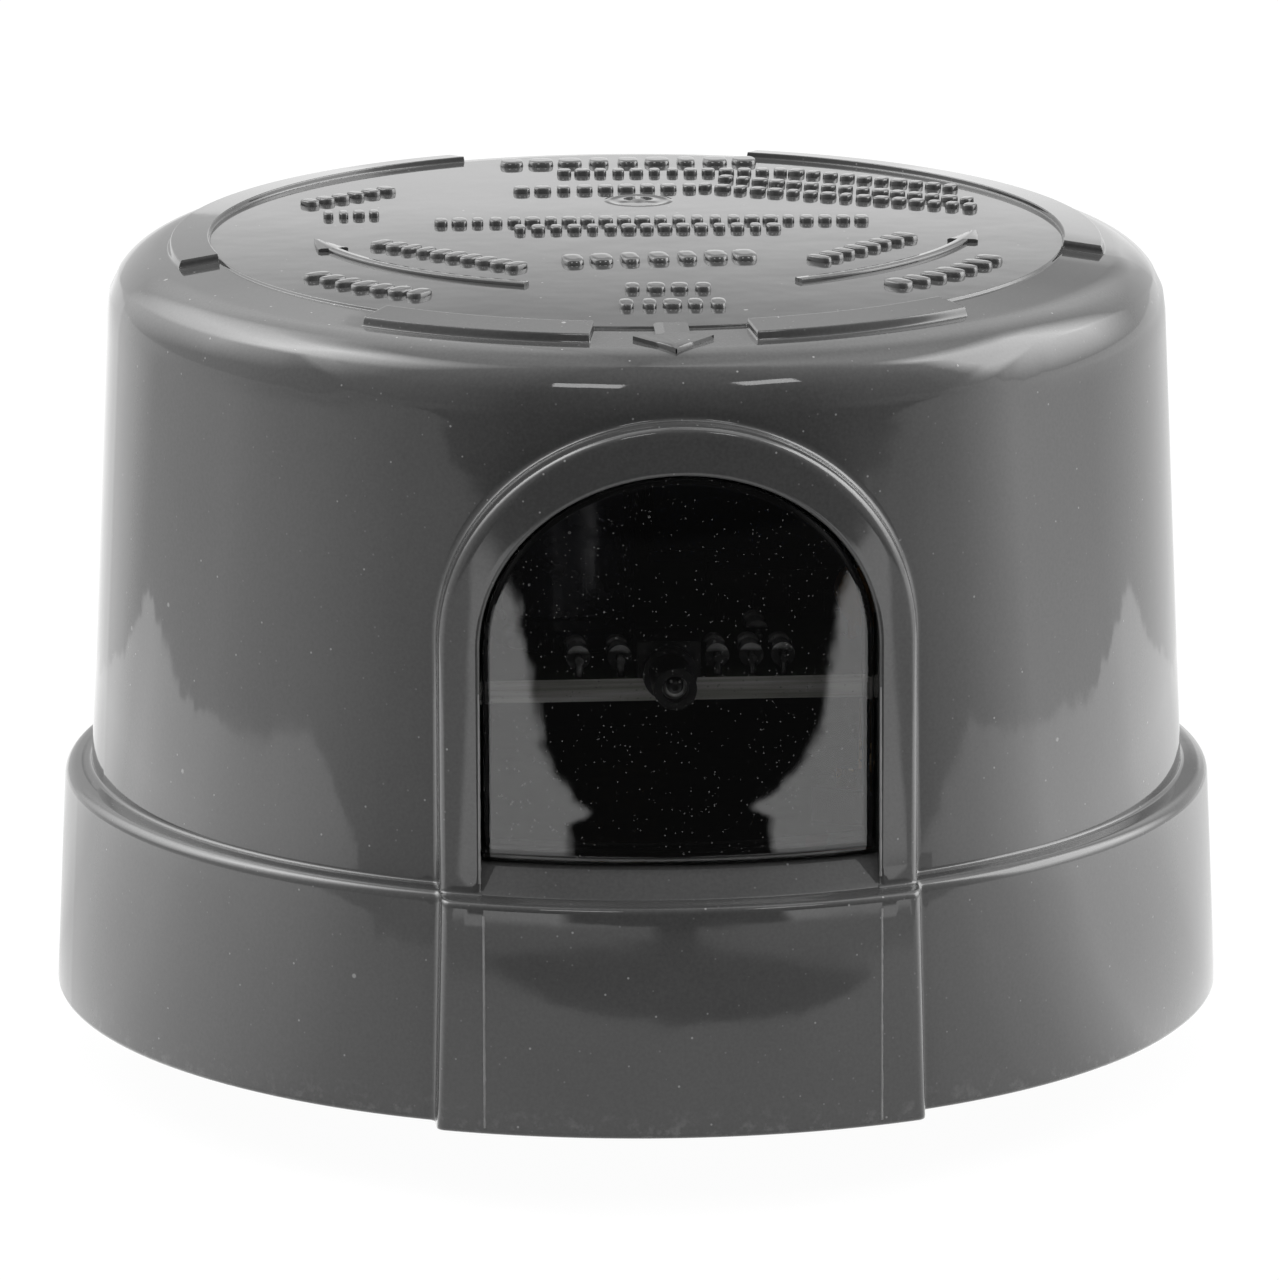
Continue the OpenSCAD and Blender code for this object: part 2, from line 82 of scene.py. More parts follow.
def roundedPath(points, radii, spans, steps=5):
    # a path of straight lines, each cut into spans, whose corners are arcs of the given radii
    points = np.asarray(points, float)
    starts = points[:-1].copy()
    ends = points[1:].copy()
    arcs = []
    for i, radius in enumerate(radii, 1):
        back = points[i - 1] - points[i]
        ahead = points[i + 1] - points[i]
        back /= np.linalg.norm(back)
        ahead /= np.linalg.norm(ahead)
        half = 0.5 * math.acos(np.clip(back @ ahead, -1, 1))
        middle = back + ahead
        centre = points[i] + middle / np.linalg.norm(middle) * radius / math.sin(half)
        ends[i - 1] = points[i] + back * radius / math.tan(half)
        starts[i] = points[i] + ahead * radius / math.tan(half)
        first = math.atan2(*(ends[i - 1] - centre)[::-1])
        last = math.atan2(*(starts[i] - centre)[::-1])
        sweep = (last - first + math.pi) % (2 * math.pi) - math.pi
        turn = first + sweep * np.linspace(0, 1, steps + 1)
        arcs.append(centre + radius * np.stack([np.cos(turn), np.sin(turn)], -1))
    path = []
    for i, span in enumerate(spans):
        path.append((starts[i] + (ends[i] - starts[i]) * np.linspace(0, 1, span + 1)[:, None])[:-1])
        if i < len(arcs):
            path.append(arcs[i][:-1])
    return np.concatenate(path + [ends[-1:]])


def turned(radius, angle, height):
    # points at a radius and a height, at an angle in degrees from the window's middle, to the right
    angle = np.radians(angle)
    return np.stack(np.broadcast_arrays(radius * np.sin(angle), -radius * np.cos(angle), height), -1)


def revolved(profile, angle):
    # a profile of radius and height, turned through the angles
    return turned(profile[:, :1], angle, profile[:, 1:])


def frontal(x, radius, height):
    # points of the front at a place across, on a circle of the given radius
    return np.stack(np.broadcast_arrays(x, -np.sqrt(radius**2 - x**2), height), -1)


def smoothStep(value, low, high):
    t = np.clip((value - low) / (high - low), 0, 1)
    return t * t * (3 - 2 * t)


# Cover: sizes in millimetres. The crown's fall, its edge and the sectors follow the photo, the rest follows
# the part's source.
cover = {
    "rimR": 42.0,
    "rimZ": -7.5,
    "ledgeZ": 8.85,
    "ledgeW": 1.9,
    "ledgeRise": 0.1,
    "slope": math.tan(math.radians(2.5)),
    "wall": 2.0,
    "crownZ": 46.7,
    "topRound": 4.2,
    "seamAngle": math.radians(35),
    "rimRound": 0.45,
    "ledgeRound": 0.85,
    "innerRound": 0.3,
    "crownRise": 0.3,
    "discR": 30.6,
    "discRise": 0.35,
    "ringRise": 0.15,
    "ringFall": 0.13,
    "sectorR": 33.4,
    "sectorRise": 0.4,
    "sectors": [(10, 39), (80, 160), (200, 280), (321, 350)],
}
window = {
    "half": 13.8,
    "rise": 12.5,
    "springZ": 26.05,
    "ribW": 2.8,
    "ribCrown": 3.4,
    "flare": 0.4,
    "frameT": 2.2,
    "padRise": 0.05,
    "sillRise": 2.1,
    "sillBack": 1.0,
    "sillFoot": 0.3,
    "sillRound": 0.25,
    "paneOut": 1.1,
    "paneGap": 0.6,
    "panelRound": 0.5,
    "lip": 1.0,
    "footRound": 0.35,
    "outerRound": 0.5,
    "innerRound": 0.35,
    "footRoom": 0.7,
    "depth": 1.3,
    "patchAngle": 44.0,
}


def skirtR(z):
    return cover["rimR"] - (z - cover["rimZ"]) * cover["slope"]


def coneR(z):
    return skirtR(cover["ledgeZ"]) - cover["ledgeW"] - (z - cover["ledgeZ"]) * cover["slope"]


def ringZ(radius):
    return cover["crownZ"] + cover["ringRise"] - cover["ringFall"] * (radius - cover["discR"])


# centre of the arc that meets both the cone and the ring: one step in from each
stepIn = cover["topRound"] * math.hypot(1, cover["slope"])
stepDown = cover["topRound"] * math.hypot(1, cover["ringFall"])
cover["roundZ"] = (ringZ(coneR(0) - stepIn) - stepDown) / (1 - cover["ringFall"] * cover["slope"])
cover["roundR"] = coneR(cover["roundZ"]) - stepIn
cover["fallAngle"] = math.atan(cover["ringFall"])


def domeR(z):
    # the cone up to the rounded top edge, then the edge's arc
    over = np.clip(z - cover["roundZ"], 0, cover["topRound"])
    arc = cover["roundR"] + np.sqrt(cover["topRound"] ** 2 - over**2)
    return np.where(z < cover["roundZ"] + cover["topRound"] * cover["slope"], coneR(z), arc)


def coverRows(out, rise, edgeRound):
    # profile from the rim's inner edge to the arch's springing, moved outward by out, its ledge rising inward
    rimIn = cover["rimR"] - cover["wall"]
    ledgeR = skirtR(cover["ledgeZ"])
    corner = ledgeR - cover["ledgeW"]
    return roundedPath(
        [
            (rimIn, cover["rimZ"]),
            (cover["rimR"] + out, cover["rimZ"]),
            (ledgeR + out, cover["ledgeZ"]),
            (corner + out, cover["ledgeZ"] + rise),
            (coneR(window["springZ"]) + out, window["springZ"]),
        ],
        [cover["rimRound"], edgeRound, cover["innerRound"]],
        [3, 12, 2, 14],
    )


# angles where the cover's columns stand: every 2 degrees, closer at the ends of the raised sectors
sectorEnds = np.array(cover["sectors"], float).ravel()
nearEnd = np.array([-0.3, -0.16, -0.08, 0, 0.08, 0.16, 0.3])
columns = np.concatenate([np.arange(0, 360, 2.0), (sectorEnds[:, None] + nearEnd).ravel()])
columns = np.unique(np.round(columns, 4))
allRound = np.append(columns, 360.0)
patch = window["patchAngle"]
frontColumns = np.concatenate([columns[columns >= 360 - patch] - 360, columns[columns <= patch]])
restColumns = columns[(columns >= patch) & (columns <= 360 - patch)]


def coverFront():
    # The frame's profile swept up one leg, over the arch and down the other, with the dome round it.
    # Each row runs from the dome's side boundary to the frame's foot, then over the frame to the pane.
    section = roundedPath(
        [(-window["footRoom"], 0), (0, 0), (0, window["frameT"]), (window["ribW"], window["frameT"]),
         (window["ribW"], -window["depth"])],
        [window["footRound"], window["outerRound"], window["innerRound"]],
        [2, 3, 6, 4],
    )
    across, lift = section.T
    outerSide = across < window["ribW"] / 2
    spread = np.linspace(1, 0, 16)[:-1] ** 1.4
    body = coverRows(0, cover["ledgeRise"], cover["ledgeRound"])
    pad = coverRows(window["frameT"], window["padRise"], window["panelRound"])
    # the last 15 rows stand above the ledge
    ledgeRows = len(body) - 15

    # legs
    bodyR, bodyZ = body.T[:, :, None]
    drop = np.clip(cover["ledgeZ"] - bodyZ, 0, None) / (cover["ledgeZ"] - cover["rimZ"])
    outerX = window["half"] + window["ribW"] + window["flare"] * drop
    x = np.where(outerSide, outerX - across, window["half"] + window["ribW"] - across)
    flush = (np.arange(len(body)) < ledgeRows)[:, None] & ~outerSide
    share = np.where(flush, window["frameT"], lift) / window["frameT"]
    legR = bodyR + (pad[:, :1] - bodyR) * share
    legZ = bodyZ + (pad[:, 1:] - bodyZ) * share
    footAngle = np.degrees(np.arcsin((outerX + window["footRoom"]) / bodyR))
    sideAngle = footAngle + (patch - footAngle) * spread
    left = np.concatenate([turned(bodyR, -sideAngle, bodyZ), frontal(-x, legR, legZ)], 1)
    right = np.concatenate([turned(bodyR, sideAngle, bodyZ), frontal(x, legR, legZ)], 1)

    # arch: half ellipses, with the dome's patch spread out to its side and top boundary
    sideTurn = 50.0
    sideSteps = 15
    sides = np.linspace(0, 1, sideSteps + 1)[:-1]
    tops = frontColumns / patch
    turn = np.concatenate([180 - sideTurn * sides, 90 - tops * (90 - sideTurn), sideTurn * sides[::-1]])
    boundAngle = np.concatenate([np.full(sideSteps, -patch), frontColumns, np.full(sideSteps, patch)])
    topZ = cover["roundZ"] + cover["topRound"] * math.sin(cover["seamAngle"])
    boundZ = window["springZ"] + (topZ - window["springZ"]) * np.concatenate(
        [sides, np.ones(len(frontColumns)), sides[::-1]])
    cosine = np.cos(np.radians(turn))[:, None]
    sine = np.sin(np.radians(turn))[:, None]
    outer = np.stack([(window["half"] + window["ribW"]) * cosine,
                      window["springZ"] + (window["rise"] + window["ribCrown"]) * sine], -1)
    inner = np.stack([window["half"] * cosine, window["springZ"] + window["rise"] * sine], -1)
    inward = (inner - outer) / np.linalg.norm(inner - outer, axis=-1, keepdims=True)
    place = np.where(outerSide[:, None], outer + inward * across[:, None],
                     inner - inward * (window["ribW"] - across)[:, None])
    share = np.clip(lift / window["frameT"], 0, 1)
    archR = domeR(place[..., 1]) * (1 - share) + coneR(place[..., 1]) * share + lift
    archFrame = frontal(place[..., 0], archR, place[..., 1])
    footZ = place[:, :1, 1]
    footAngle = np.degrees(np.arcsin(place[:, :1, 0] / domeR(footZ)))
    angle = footAngle + (boundAngle[:, None] - footAngle) * spread
    height = footZ + (boundZ[:, None] - footZ) * spread
    arch = np.concatenate([turned(domeR(height), angle, height), archFrame], 1)
    upTo = boundZ[1:sideSteps + 1]
    rest = np.concatenate([body, np.stack([domeR(upTo), upTo], -1)])
    return np.concatenate([left[:-1], arch, right[-2::-1]]), rest


def coverPanel():
    # panel between the frame's legs: the skirt's front, the ledge, then the sill that slopes up to the pane
    ledgeR = skirtR(cover["ledgeZ"])
    paneR = ledgeR - cover["ledgeW"] - window["lip"]
    footR = ledgeR + window["frameT"] - cover["ledgeW"]
    sillR = ledgeR - cover["ledgeW"] + window["paneOut"] - window["paneGap"]
    profile = roundedPath(
        [
            (cover["rimR"] - cover["wall"], cover["rimZ"]),
            (cover["rimR"] + window["frameT"], cover["rimZ"]),
            (ledgeR + window["frameT"], cover["ledgeZ"]),
            (footR, cover["ledgeZ"] + window["padRise"]),
            (sillR, cover["ledgeZ"] + window["sillRise"]),
            (paneR - window["sillBack"], cover["ledgeZ"] + window["sillRise"]),
        ],
        [cover["rimRound"], window["panelRound"], window["sillFoot"], window["sillRound"]],
        [3, 12, 2, 6, 1],
    )
    x = np.linspace(-window["half"], window["half"], 41)
    return frontal(x, profile[:, :1], profile[:, 1:])


def edgeZ(radius):
    # height outside the disc: the falling ring, then the rounded edge's arc
    over = np.clip(radius - cover["roundR"], 0, cover["topRound"])
    arc = cover["roundZ"] + np.sqrt(cover["topRound"] ** 2 - over**2)
    return np.where(over < cover["topRound"] * math.sin(cover["fallAngle"]), ringZ(radius), arc)


def crownOf(radius):
    # the disc's slight doming
    return cover["crownRise"] * np.clip(1 - (radius / cover["discR"]) ** 2, 0, 1)


def topHeight(radius, angle):
    # height of the top: the rounded edge, the falling ring, the raised disc and the raised sectors, whose
    # walls are smooth steps over a fraction of a millimetre or, at the sectors' ends, of a degree
    base = edgeZ(radius)
    disc = cover["crownZ"] + cover["discRise"] + crownOf(radius)
    height = base + (disc - base) * (1 - smoothStep(radius, cover["discR"] - 0.06, cover["discR"] + 0.06))
    wall = smoothStep(radius, cover["discR"] - 0.04, cover["discR"] + 0.08)
    wall = wall * (1 - smoothStep(radius, cover["sectorR"] - 0.1, cover["sectorR"] + 0.2))
    top = disc + cover["sectorRise"] - cover["ringFall"] * np.clip(radius - cover["discR"], 0, None)
    for start, end in cover["sectors"]:
        span = smoothStep(angle, start - 0.09, start + 0.09) * (1 - smoothStep(angle, end - 0.09, end + 0.09))
        height = height + (top - height) * wall * span
    return height


def coverTop():
    # rings from the rounded edge in to the middle, closer together at the walls of the sectors and the disc
    edge = np.linspace(cover["seamAngle"], math.pi / 2 - cover["fallAngle"], 15)
    nearSector = cover["sectorR"] + np.array([0.4, 0.24, 0.2, 0.15, 0.1, 0.05, 0, -0.05, -0.1, -0.14, -0.3])
    nearDisc = cover["discR"] + np.array([0.6, 0.2, 0.12, 0.08, 0.05, 0.02, -0.01, -0.04, -0.06, -0.12, -0.4])
    radius = np.concatenate([
        cover["roundR"] + cover["topRound"] * np.cos(edge), nearSector, [32.6, 32.1, 31.6],
        nearDisc, np.linspace(29, 0, 16),
    ])
    return turned(radius[:, None], allRound, topHeight(radius[:, None], allRound))


def coverInside():
    # faces that look inward: under the crown, down the dome, under the ledge, down the skirt to the rim
    wall = cover["wall"]
    arc = np.radians(np.arange(90, 0, -9.0))
    crown = np.stack([cover["roundR"] + (cover["topRound"] - wall) * np.cos(arc),
                      cover["roundZ"] + (cover["topRound"] - wall) * np.sin(arc)], -1)
    crown = np.concatenate([[(0, cover["crownZ"] - wall)], crown])
    low = np.linspace(cover["roundZ"], cover["ledgeZ"] - wall, 12)
    dome = np.stack([coneR(low) - wall, low], -1)
    skirt = np.linspace(cover["ledgeZ"] - wall, cover["rimZ"], 8)
    skirt = np.concatenate([dome[-1:], np.stack([skirtR(skirt) - wall, skirt], -1)])
    beside = np.arange(25, 336, 5.0)
    return [revolved(crown, allRound), revolved(dome, beside), revolved(skirt, allRound)]


wedge = {
    "topZ": 2.95,
    "height": 2.4,
    "edgeHeight": 0.6,
    "plateTopZ": 6.8,
    "reach": 1.1,
    "sunkIn": 1.5,
    "footIn": 1.9,
    "halfAngle": 4.5,
    "angles": (45, 135, 225, 315),
}


def snapWedges():
    # wedges inside the skirt, below the base plate's edge: a profile turned over a few degrees, with ends
    topZ = wedge["topZ"]
    lowZ = topZ - wedge["height"]
    tipR = skirtR(wedge["plateTopZ"]) - cover["wall"] - wedge["reach"]
    profile = np.array([
        (skirtR(topZ) - wedge["sunkIn"], topZ),
        (tipR, topZ),
        (tipR, topZ - wedge["edgeHeight"]),
        (skirtR(lowZ) - wedge["footIn"], lowZ),
        (skirtR(lowZ) - wedge["sunkIn"], lowZ),
    ])
    grids = []
    for middle in wedge["angles"]:
        angle = np.linspace(middle - wedge["halfAngle"], middle + wedge["halfAngle"], 7)
        side = revolved(profile, angle)
        back = np.repeat(side[:1], len(profile), 0)
        grids += [side, np.stack([back[:, 0], side[:, 0]], 1), np.stack([side[:, -1], back[:, -1]], 1)]
    return grids


front, restRows = coverFront()
coverPiece = gridMesh("cover_moulding", [
    front,
    revolved(restRows, restColumns),
    coverPanel(),
    coverTop(),
    *coverInside(),
    *snapWedges(),
])
weightNormals(coverPiece)
print("cover built with", len(coverPiece.data.polygons), "faces")

# Pane: the raised face fills the opening but for a gap, and the flange lies behind the lip
pane = {
    "gap": 0.25,
    "flange": 1.6,
    "thick": 1.5,
    "faceThick": 0.6,
    "seat": 0.05,
    "edgeRound": 0.18,
    "middleZ": 22.0,
}


def archOutline(grow):
    # outline of the raised face, moved outward by grow: along the foot, up, over the arch and down
    half = window["half"] - pane["gap"] + grow
    rise = window["rise"] - pane["gap"] + grow
    foot = cover["ledgeZ"] + window["sillRise"] + window["paneGap"] / 2 - grow
    side = foot + (window["springZ"] - foot) * np.linspace(0, 1, 11)[:-1]
    turn = np.linspace(0, math.pi, 49)
    x = np.concatenate([np.linspace(-half, half, 25)[:-1], np.full(10, half), half * np.cos(turn),
                        np.full(10, -half)])
    z = np.concatenate([np.full(24, foot), side, window["springZ"] + rise * np.sin(turn), side[::-1]])
    return x, z


def paneSurface():
    # outlines by growth, distance out from the dome and share of their width: from the middle of the back,
    # round the flange and the raised face's edge, to the middle of the front
    front, step = window["paneOut"], -window["lip"] - pane["seat"]
    back, wide = step - pane["thick"], pane["flange"] + pane["gap"]
    bend = np.radians(np.linspace(0, 90, 5))
    edge = pane["edgeRound"]
    rows = [(-pane["faceThick"], front - pane["faceThick"], t) for t in np.linspace(0, 1, 12)]
    rows += [(-pane["faceThick"], back, 1), (wide, back, 1), (wide, step, 1), (0, step, 1)]
    rows += [(edge * (np.cos(b) - 1), front - edge * (1 - np.sin(b)), 1) for b in bend]
    rows += [(-edge, front, t) for t in np.linspace(0.97, 0, 12)]
    grid = []
    for grow, out, share in rows:
        x, z = archOutline(grow)
        z = pane["middleZ"] + (z - pane["middleZ"]) * share
        grid.append(frontal(x * share, coneR(z) + out, z))
    return np.stack(grid)


panePiece = gridMesh("smoked_window", [paneSurface()])
panePiece.data.set_sharp_from_angle(angle=math.radians(40))

# Signs moulded on the top: turning arrows, the north arrow, and rows of plain raised bars
signs = {
    "northRise": 0.38,
    "barRise": 0.38,
    "arrowRise": 0.26,
    "arrowHalf": 0.42,
    "arrowHead": 1.1,
    "headStart": 0.84,
    "northStem": 1.2,
    "northHead": 2.75,
    "northFoot": 30.3,
    "northShoulder": 32.7,
    "northTip": 35.3,
}
discZ = cover["crownZ"] + cover["discRise"]


def raisedStrip(path, normal, half, rise):
    # strip with sloped sides along a path: path and normal are rows of points, half is the row's half width
    out = np.array([-1.0, -1.0, -0.82, 0, 0.82, 1.0, 1.0])
    lift = np.array([-0.15, 0.75, 1, 1, 1, 0.75, -0.15])
    grid = path[:, None, :] + normal[:, None, :] * (half[:, None] * out)[..., None]
    grid[..., 2] += rise * lift + crownOf(np.hypot(grid[..., 0], grid[..., 1]))
    return grid


def turnArrow(startAngle, endAngle, startR, endR):
    # arc that widens into a head; the head's barb is where the half width jumps
    barb = signs["headStart"]
    t = np.concatenate([[0, 0], np.linspace(0.0, barb, 30), np.linspace(barb + 0.001, 1, 8)])
    half = np.where(t <= barb, signs["arrowHalf"], signs["arrowHead"] * (1 - t) / (1 - barb))
    half[:1] = 0.01
    angle = startAngle + (endAngle - startAngle) * t
    radius = startR + (endR - startR) * t**1.4
    path = turned(radius, angle, np.full_like(t, discZ))
    normal = turned(np.ones_like(t), angle, np.zeros_like(t))
    return raisedStrip(path, normal if endAngle < startAngle else -normal, half, signs["arrowRise"])


def northArrow():
    # stem and head that follow the rounded edge down
    foot, shoulder, tip = signs["northFoot"], signs["northShoulder"], signs["northTip"]
    y = np.concatenate([[foot], np.linspace(foot + 0.1, shoulder - 0.01, 8), np.linspace(shoulder, tip, 14)])
    head = signs["northHead"] * (tip + 0.05 - y) / (tip - shoulder)
    half = np.where(y < shoulder, signs["northStem"], head)
    path = np.stack([0 * y, -y, 0 * y], -1)
    normal = np.tile([1.0, 0, 0], (len(y), 1))
    grid = raisedStrip(path, normal, half, signs["northRise"])
    radius = np.hypot(grid[..., 0], grid[..., 1])
    grid[..., 2] += edgeZ(radius)
    return grid[::-1]


def barRow(start, end, size, count):
    # plain rounded bars in a row from start to end: places across the top
    start = np.array(start, float)
    along = np.array(end, float) - start
    t = (np.arange(count) + 0.5) / count
    heading = np.full(count, math.atan2(along[1], along[0]))
    return start + t[:, None] * along, heading, size, np.linalg.norm(along) / count


def barArc(start, end, size, count):
    # the same along an arc from one radius and angle to another
    t = (np.arange(count) + 0.5) / count
    radius = start[0] + (end[0] - start[0]) * t
    angle = np.radians(start[1] + (end[1] - start[1]) * t)
    place = np.stack([radius * np.sin(angle), -radius * np.cos(angle)], -1)
    return place, angle, size, np.ptp(angle) * radius.mean() / (count - 1)


def barGrids(place, heading, size, pitch):
    # each bar is a rounded rectangle with steep sides and a flat top: rings that shrink to the middle
    count = len(place)
    wide = pitch * rng.uniform(0.32, 0.46, count)
    high = size * rng.uniform(0.42, 0.5, count)
    turn = np.radians(np.linspace(-180, 180, 19))
    ring = np.array([1.0, 0.94, 0.88, 0.78, 0.4, 0.0])[:, None]
    lift = np.array([-0.15, 0.8, 0.95, 1.0, 1.0, 1.0])[:, None]
    rounded = np.sign([np.cos(turn), np.sin(turn)]) * np.abs([np.cos(turn), np.sin(turn)]) ** 0.7
    x = wide[:, None, None] * ring * rounded[0]
    y = high[:, None, None] * ring * rounded[1]
    cosine = np.cos(heading)[:, None, None]
    sine = np.sin(heading)[:, None, None]
    across = place[:, 0, None, None] + x * cosine - y * sine
    ahead = place[:, 1, None, None] + x * sine + y * cosine
    height = discZ + signs["barRise"] * lift + crownOf(np.hypot(across, ahead))
    return list(np.stack([across, ahead, height], -1))


bars = [
    barRow((-8.2, 26.8), (11.1, 26.4), 2.4, 9),
    barRow((-4.2, 22.7), (13.0, 21.8), 1.5, 13),
    barRow((-7.9, 16.0), (5.9, 16.0), 1.6, 9),
    barRow((12.9, 21.8), (24.8, 14.9), 1.4, 10),
    barRow((7.5, 19.6), (25.5, 10.0), 1.4, 15),
    barRow((5.7, 16.4), (25.5, 7.7), 1.4, 16),
    barRow((-14.4, 4.5), (17.2, 3.5), 1.8, 24),
    barRow((-8.9, 1.5), (10.6, 0.8), 1.7, 15),
    barRow((-23.3, 12.7), (-16.4, 17.5), 1.6, 6),
    barRow((-22.2, 8.3), (-17.8, 8.3), 1.6, 4),
    barRow((-6.3, -9.7), (8.0, -8.8), 3.0, 7),
    barRow((-2.6, -19.0), (4.0, -19.3), 2.1, 4),
    barRow((-3.4, -24.3), (4.6, -24.5), 2.3, 5),
    barArc((26.9, -63), (25.6, -39), 2.4, 7),
    barRow((-18.9, -2.3), (-8.9, -11.8), 2.1, 10),
    barRow((11.7, -10.9), (19.5, -2.4), 2.1, 8),
    barArc((25.1, 40.5), (26.6, 68), 2.4, 7),
]
signGrids = [turnArrow(-28, -89.7, 19.3, 23.1), turnArrow(30.5, 89.3, 19.9, 24.4), northArrow()]
for row in bars:
    signGrids += barGrids(*row)
signPiece = gridMesh("top_signs", signGrids)
signPiece.data.set_sharp_from_angle(angle=math.radians(50))

# Mould marks: the gate's scar on the disc, and flash along the parting lines
gate = {
    "place": (1.1, 12.0),
    "radii": [2.7, 2.4, 2.2, 2.0, 1.7, 0.6, 0.5, 0.35, 0.15, 0.0],
    "lifts": [-0.04, 0.02, 0.05, 0.02, 0.005, 0.005, 0.06, 0.11, 0.12, 0.12],
}


def gateMark():
    # shallow ring with a small nub, left where the plastic entered the mould
    radius = np.array(gate["radii"])[:, None]
    height = discZ + np.array(gate["lifts"])[:, None]
    grid = turned(radius, np.linspace(0, 360, 61), height)
    return grid + np.array([*gate["place"], crownOf(gate["place"][1])])


gatePiece = gridMesh("gate_mark", [gateMark()])
flash = {
    "aboveRim": 0.5,
    "belowSpring": 3.0,
    "half": 0.05,
    "halfRough": 0.09,
    "rise": 0.02,
    "riseRough": 0.1,
    "fade": 0.75,
    "legShift": 0.12,
    "legSunk": 0.04,
    "stray": 0.03,
}


def partingLine(side):
    # ragged ridge along the frame's inner edge: up the panel and on up the leg
    z = np.linspace(cover["rimZ"] + flash["aboveRim"], window["springZ"] - flash["belowSpring"], 420)
    onSkirt = z < cover["ledgeZ"] - cover["ledgeRound"]
    radius = np.where(onSkirt, skirtR(z), coneR(z)) + window["frameT"]
    rough = np.convolve(rng.random(len(z) + 6), np.ones(7) / 7, "valid")
    fade = 1 - flash["fade"] * smoothStep(z, cover["ledgeZ"], window["springZ"])
    half = flash["half"] + flash["halfRough"] * rough * fade
    rise = (flash["rise"] + flash["riseRough"] * rough) * fade
    out = np.array([-1.0, -0.5, 0, 0.5, 1.0])
    lift = np.array([-0.3, 0.7, 1, 0.7, -0.3])
    middle = side * (window["half"] + np.where(onSkirt, 0, flash["legShift"]))
    x = (middle + flash["stray"] * (rough - 0.5))[:, None] + half[:, None] * out
    radius = radius - np.where(onSkirt, 0, flash["legSunk"])
    grid = frontal(x, radius[:, None] + rise[:, None] * lift, z[:, None])
    onLedge = np.abs(z - cover["ledgeZ"]) > cover["ledgeRound"]
    return [grid[: np.argmin(onLedge)], grid[len(z) - np.argmin(onLedge[::-1]):]]


flashPiece = gridMesh("parting_lines", partingLine(-1) + partingLine(1))
print("signs and mould marks built")


# Materials, all procedural on object coordinates
def newMaterial(name, color, roughness):
    material = bpy.data.materials.new(name)
    material.use_nodes = True
    shader = material.node_tree.nodes["Principled BSDF"]
    shader.inputs["Base Color"].default_value = (*color, 1)
    shader.inputs["Roughness"].default_value = roughness
    return material, material.node_tree, shader


def addNode(tree, kind, **settings):
    node = tree.nodes.new(kind)
    for name, value in settings.items():
        setattr(node, name, value)
    return node


def noiseAt(tree, scale, detail=3.0, roughness=0.5):
    place = addNode(tree, "ShaderNodeTexCoord")
    noise = addNode(tree, "ShaderNodeTexNoise")
    noise.inputs["Scale"].default_value = scale
    noise.inputs["Detail"].default_value = detail
    noise.inputs["Roughness"].default_value = roughness
    tree.links.new(place.outputs["Object"], noise.inputs["Vector"])
    return noise.outputs["Fac"]


def axesOf(tree, kind="Object"):
    # X, Y and Z of a kind of texture coordinate
    place = addNode(tree, "ShaderNodeTexCoord")
    axes = addNode(tree, "ShaderNodeSeparateXYZ")
    tree.links.new(place.outputs[kind], axes.inputs["Vector"])
    return axes.outputs


def mapTo(tree, source, low, high, fromLow=0.0, fromHigh=1.0):
    node = addNode(tree, "ShaderNodeMapRange")
    for name, value in zip(("From Min", "From Max", "To Min", "To Max"), (fromLow, fromHigh, low, high)):
        node.inputs[name].default_value = value
    tree.links.new(source, node.inputs["Value"])
    return node.outputs["Result"]


def mixColor(tree, factor, first, second):
    node = addNode(tree, "ShaderNodeMix", data_type="RGBA")
    tree.links.new(factor, node.inputs["Factor"])
    for socket, value in ((node.inputs["A"], first), (node.inputs["B"], second)):
        if isinstance(value, tuple):
            socket.default_value = (*value, 1)
        else:
            tree.links.new(value, socket)
    return node.outputs["Result"]


def math2(tree, kind, first, second):
    node = addNode(tree, "ShaderNodeMath", operation=kind)
    for socket, value in zip(node.inputs, (first, second)):
        if isinstance(value, (int, float)):
            socket.default_value = value
        else:
            tree.links.new(value, socket)
    return node.outputs["Value"]


def times(tree, first, second):
    return math2(tree, "MULTIPLY", first, second)


def setLook(tree, shader, color, gloss):
    tree.links.new(color, shader.inputs["Base Color"])
    tree.links.new(gloss, shader.inputs["Roughness"])


def addBump(tree, shader, source, strength, distance):
    bump = addNode(tree, "ShaderNodeBump")
    bump.inputs["Strength"].default_value = strength
    bump.inputs["Distance"].default_value = distance
    tree.links.new(source, bump.inputs["Height"])
    tree.links.new(bump.outputs["Normal"], shader.inputs["Normal"])


def specks(tree, spacing, size, share):
    # dust: round specks in a share of the cells of a grid of random points
    place = addNode(tree, "ShaderNodeTexCoord")
    cells = addNode(tree, "ShaderNodeTexVoronoi")
    cells.inputs["Scale"].default_value = 1 / (spacing * mm)
    tree.links.new(place.outputs["Object"], cells.inputs["Vector"])
    near = mapTo(tree, cells.outputs["Distance"], 1, 0, size / spacing * 0.5, size / spacing)
    split = addNode(tree, "ShaderNodeSeparateColor")
    tree.links.new(cells.outputs["Color"], split.inputs["Color"])
    return times(tree, near, math2(tree, "LESS_THAN", split.outputs["Red"], share))


def mottled(name, color, other, roughness, spread, scale, bump=0.0, grain=900):
    # base colour that drifts between two tones, with uneven gloss and a fine grain
    material, tree, shader = newMaterial(name, color, roughness)
    gloss = mapTo(tree, noiseAt(tree, scale * 3), roughness - spread, roughness + spread, 0.3, 0.7)
    setLook(tree, shader, mixColor(tree, noiseAt(tree, scale), color, other), gloss)
    if bump:
        addBump(tree, shader, noiseAt(tree, grain), bump, 0.1 * mm)
    return material, tree, shader


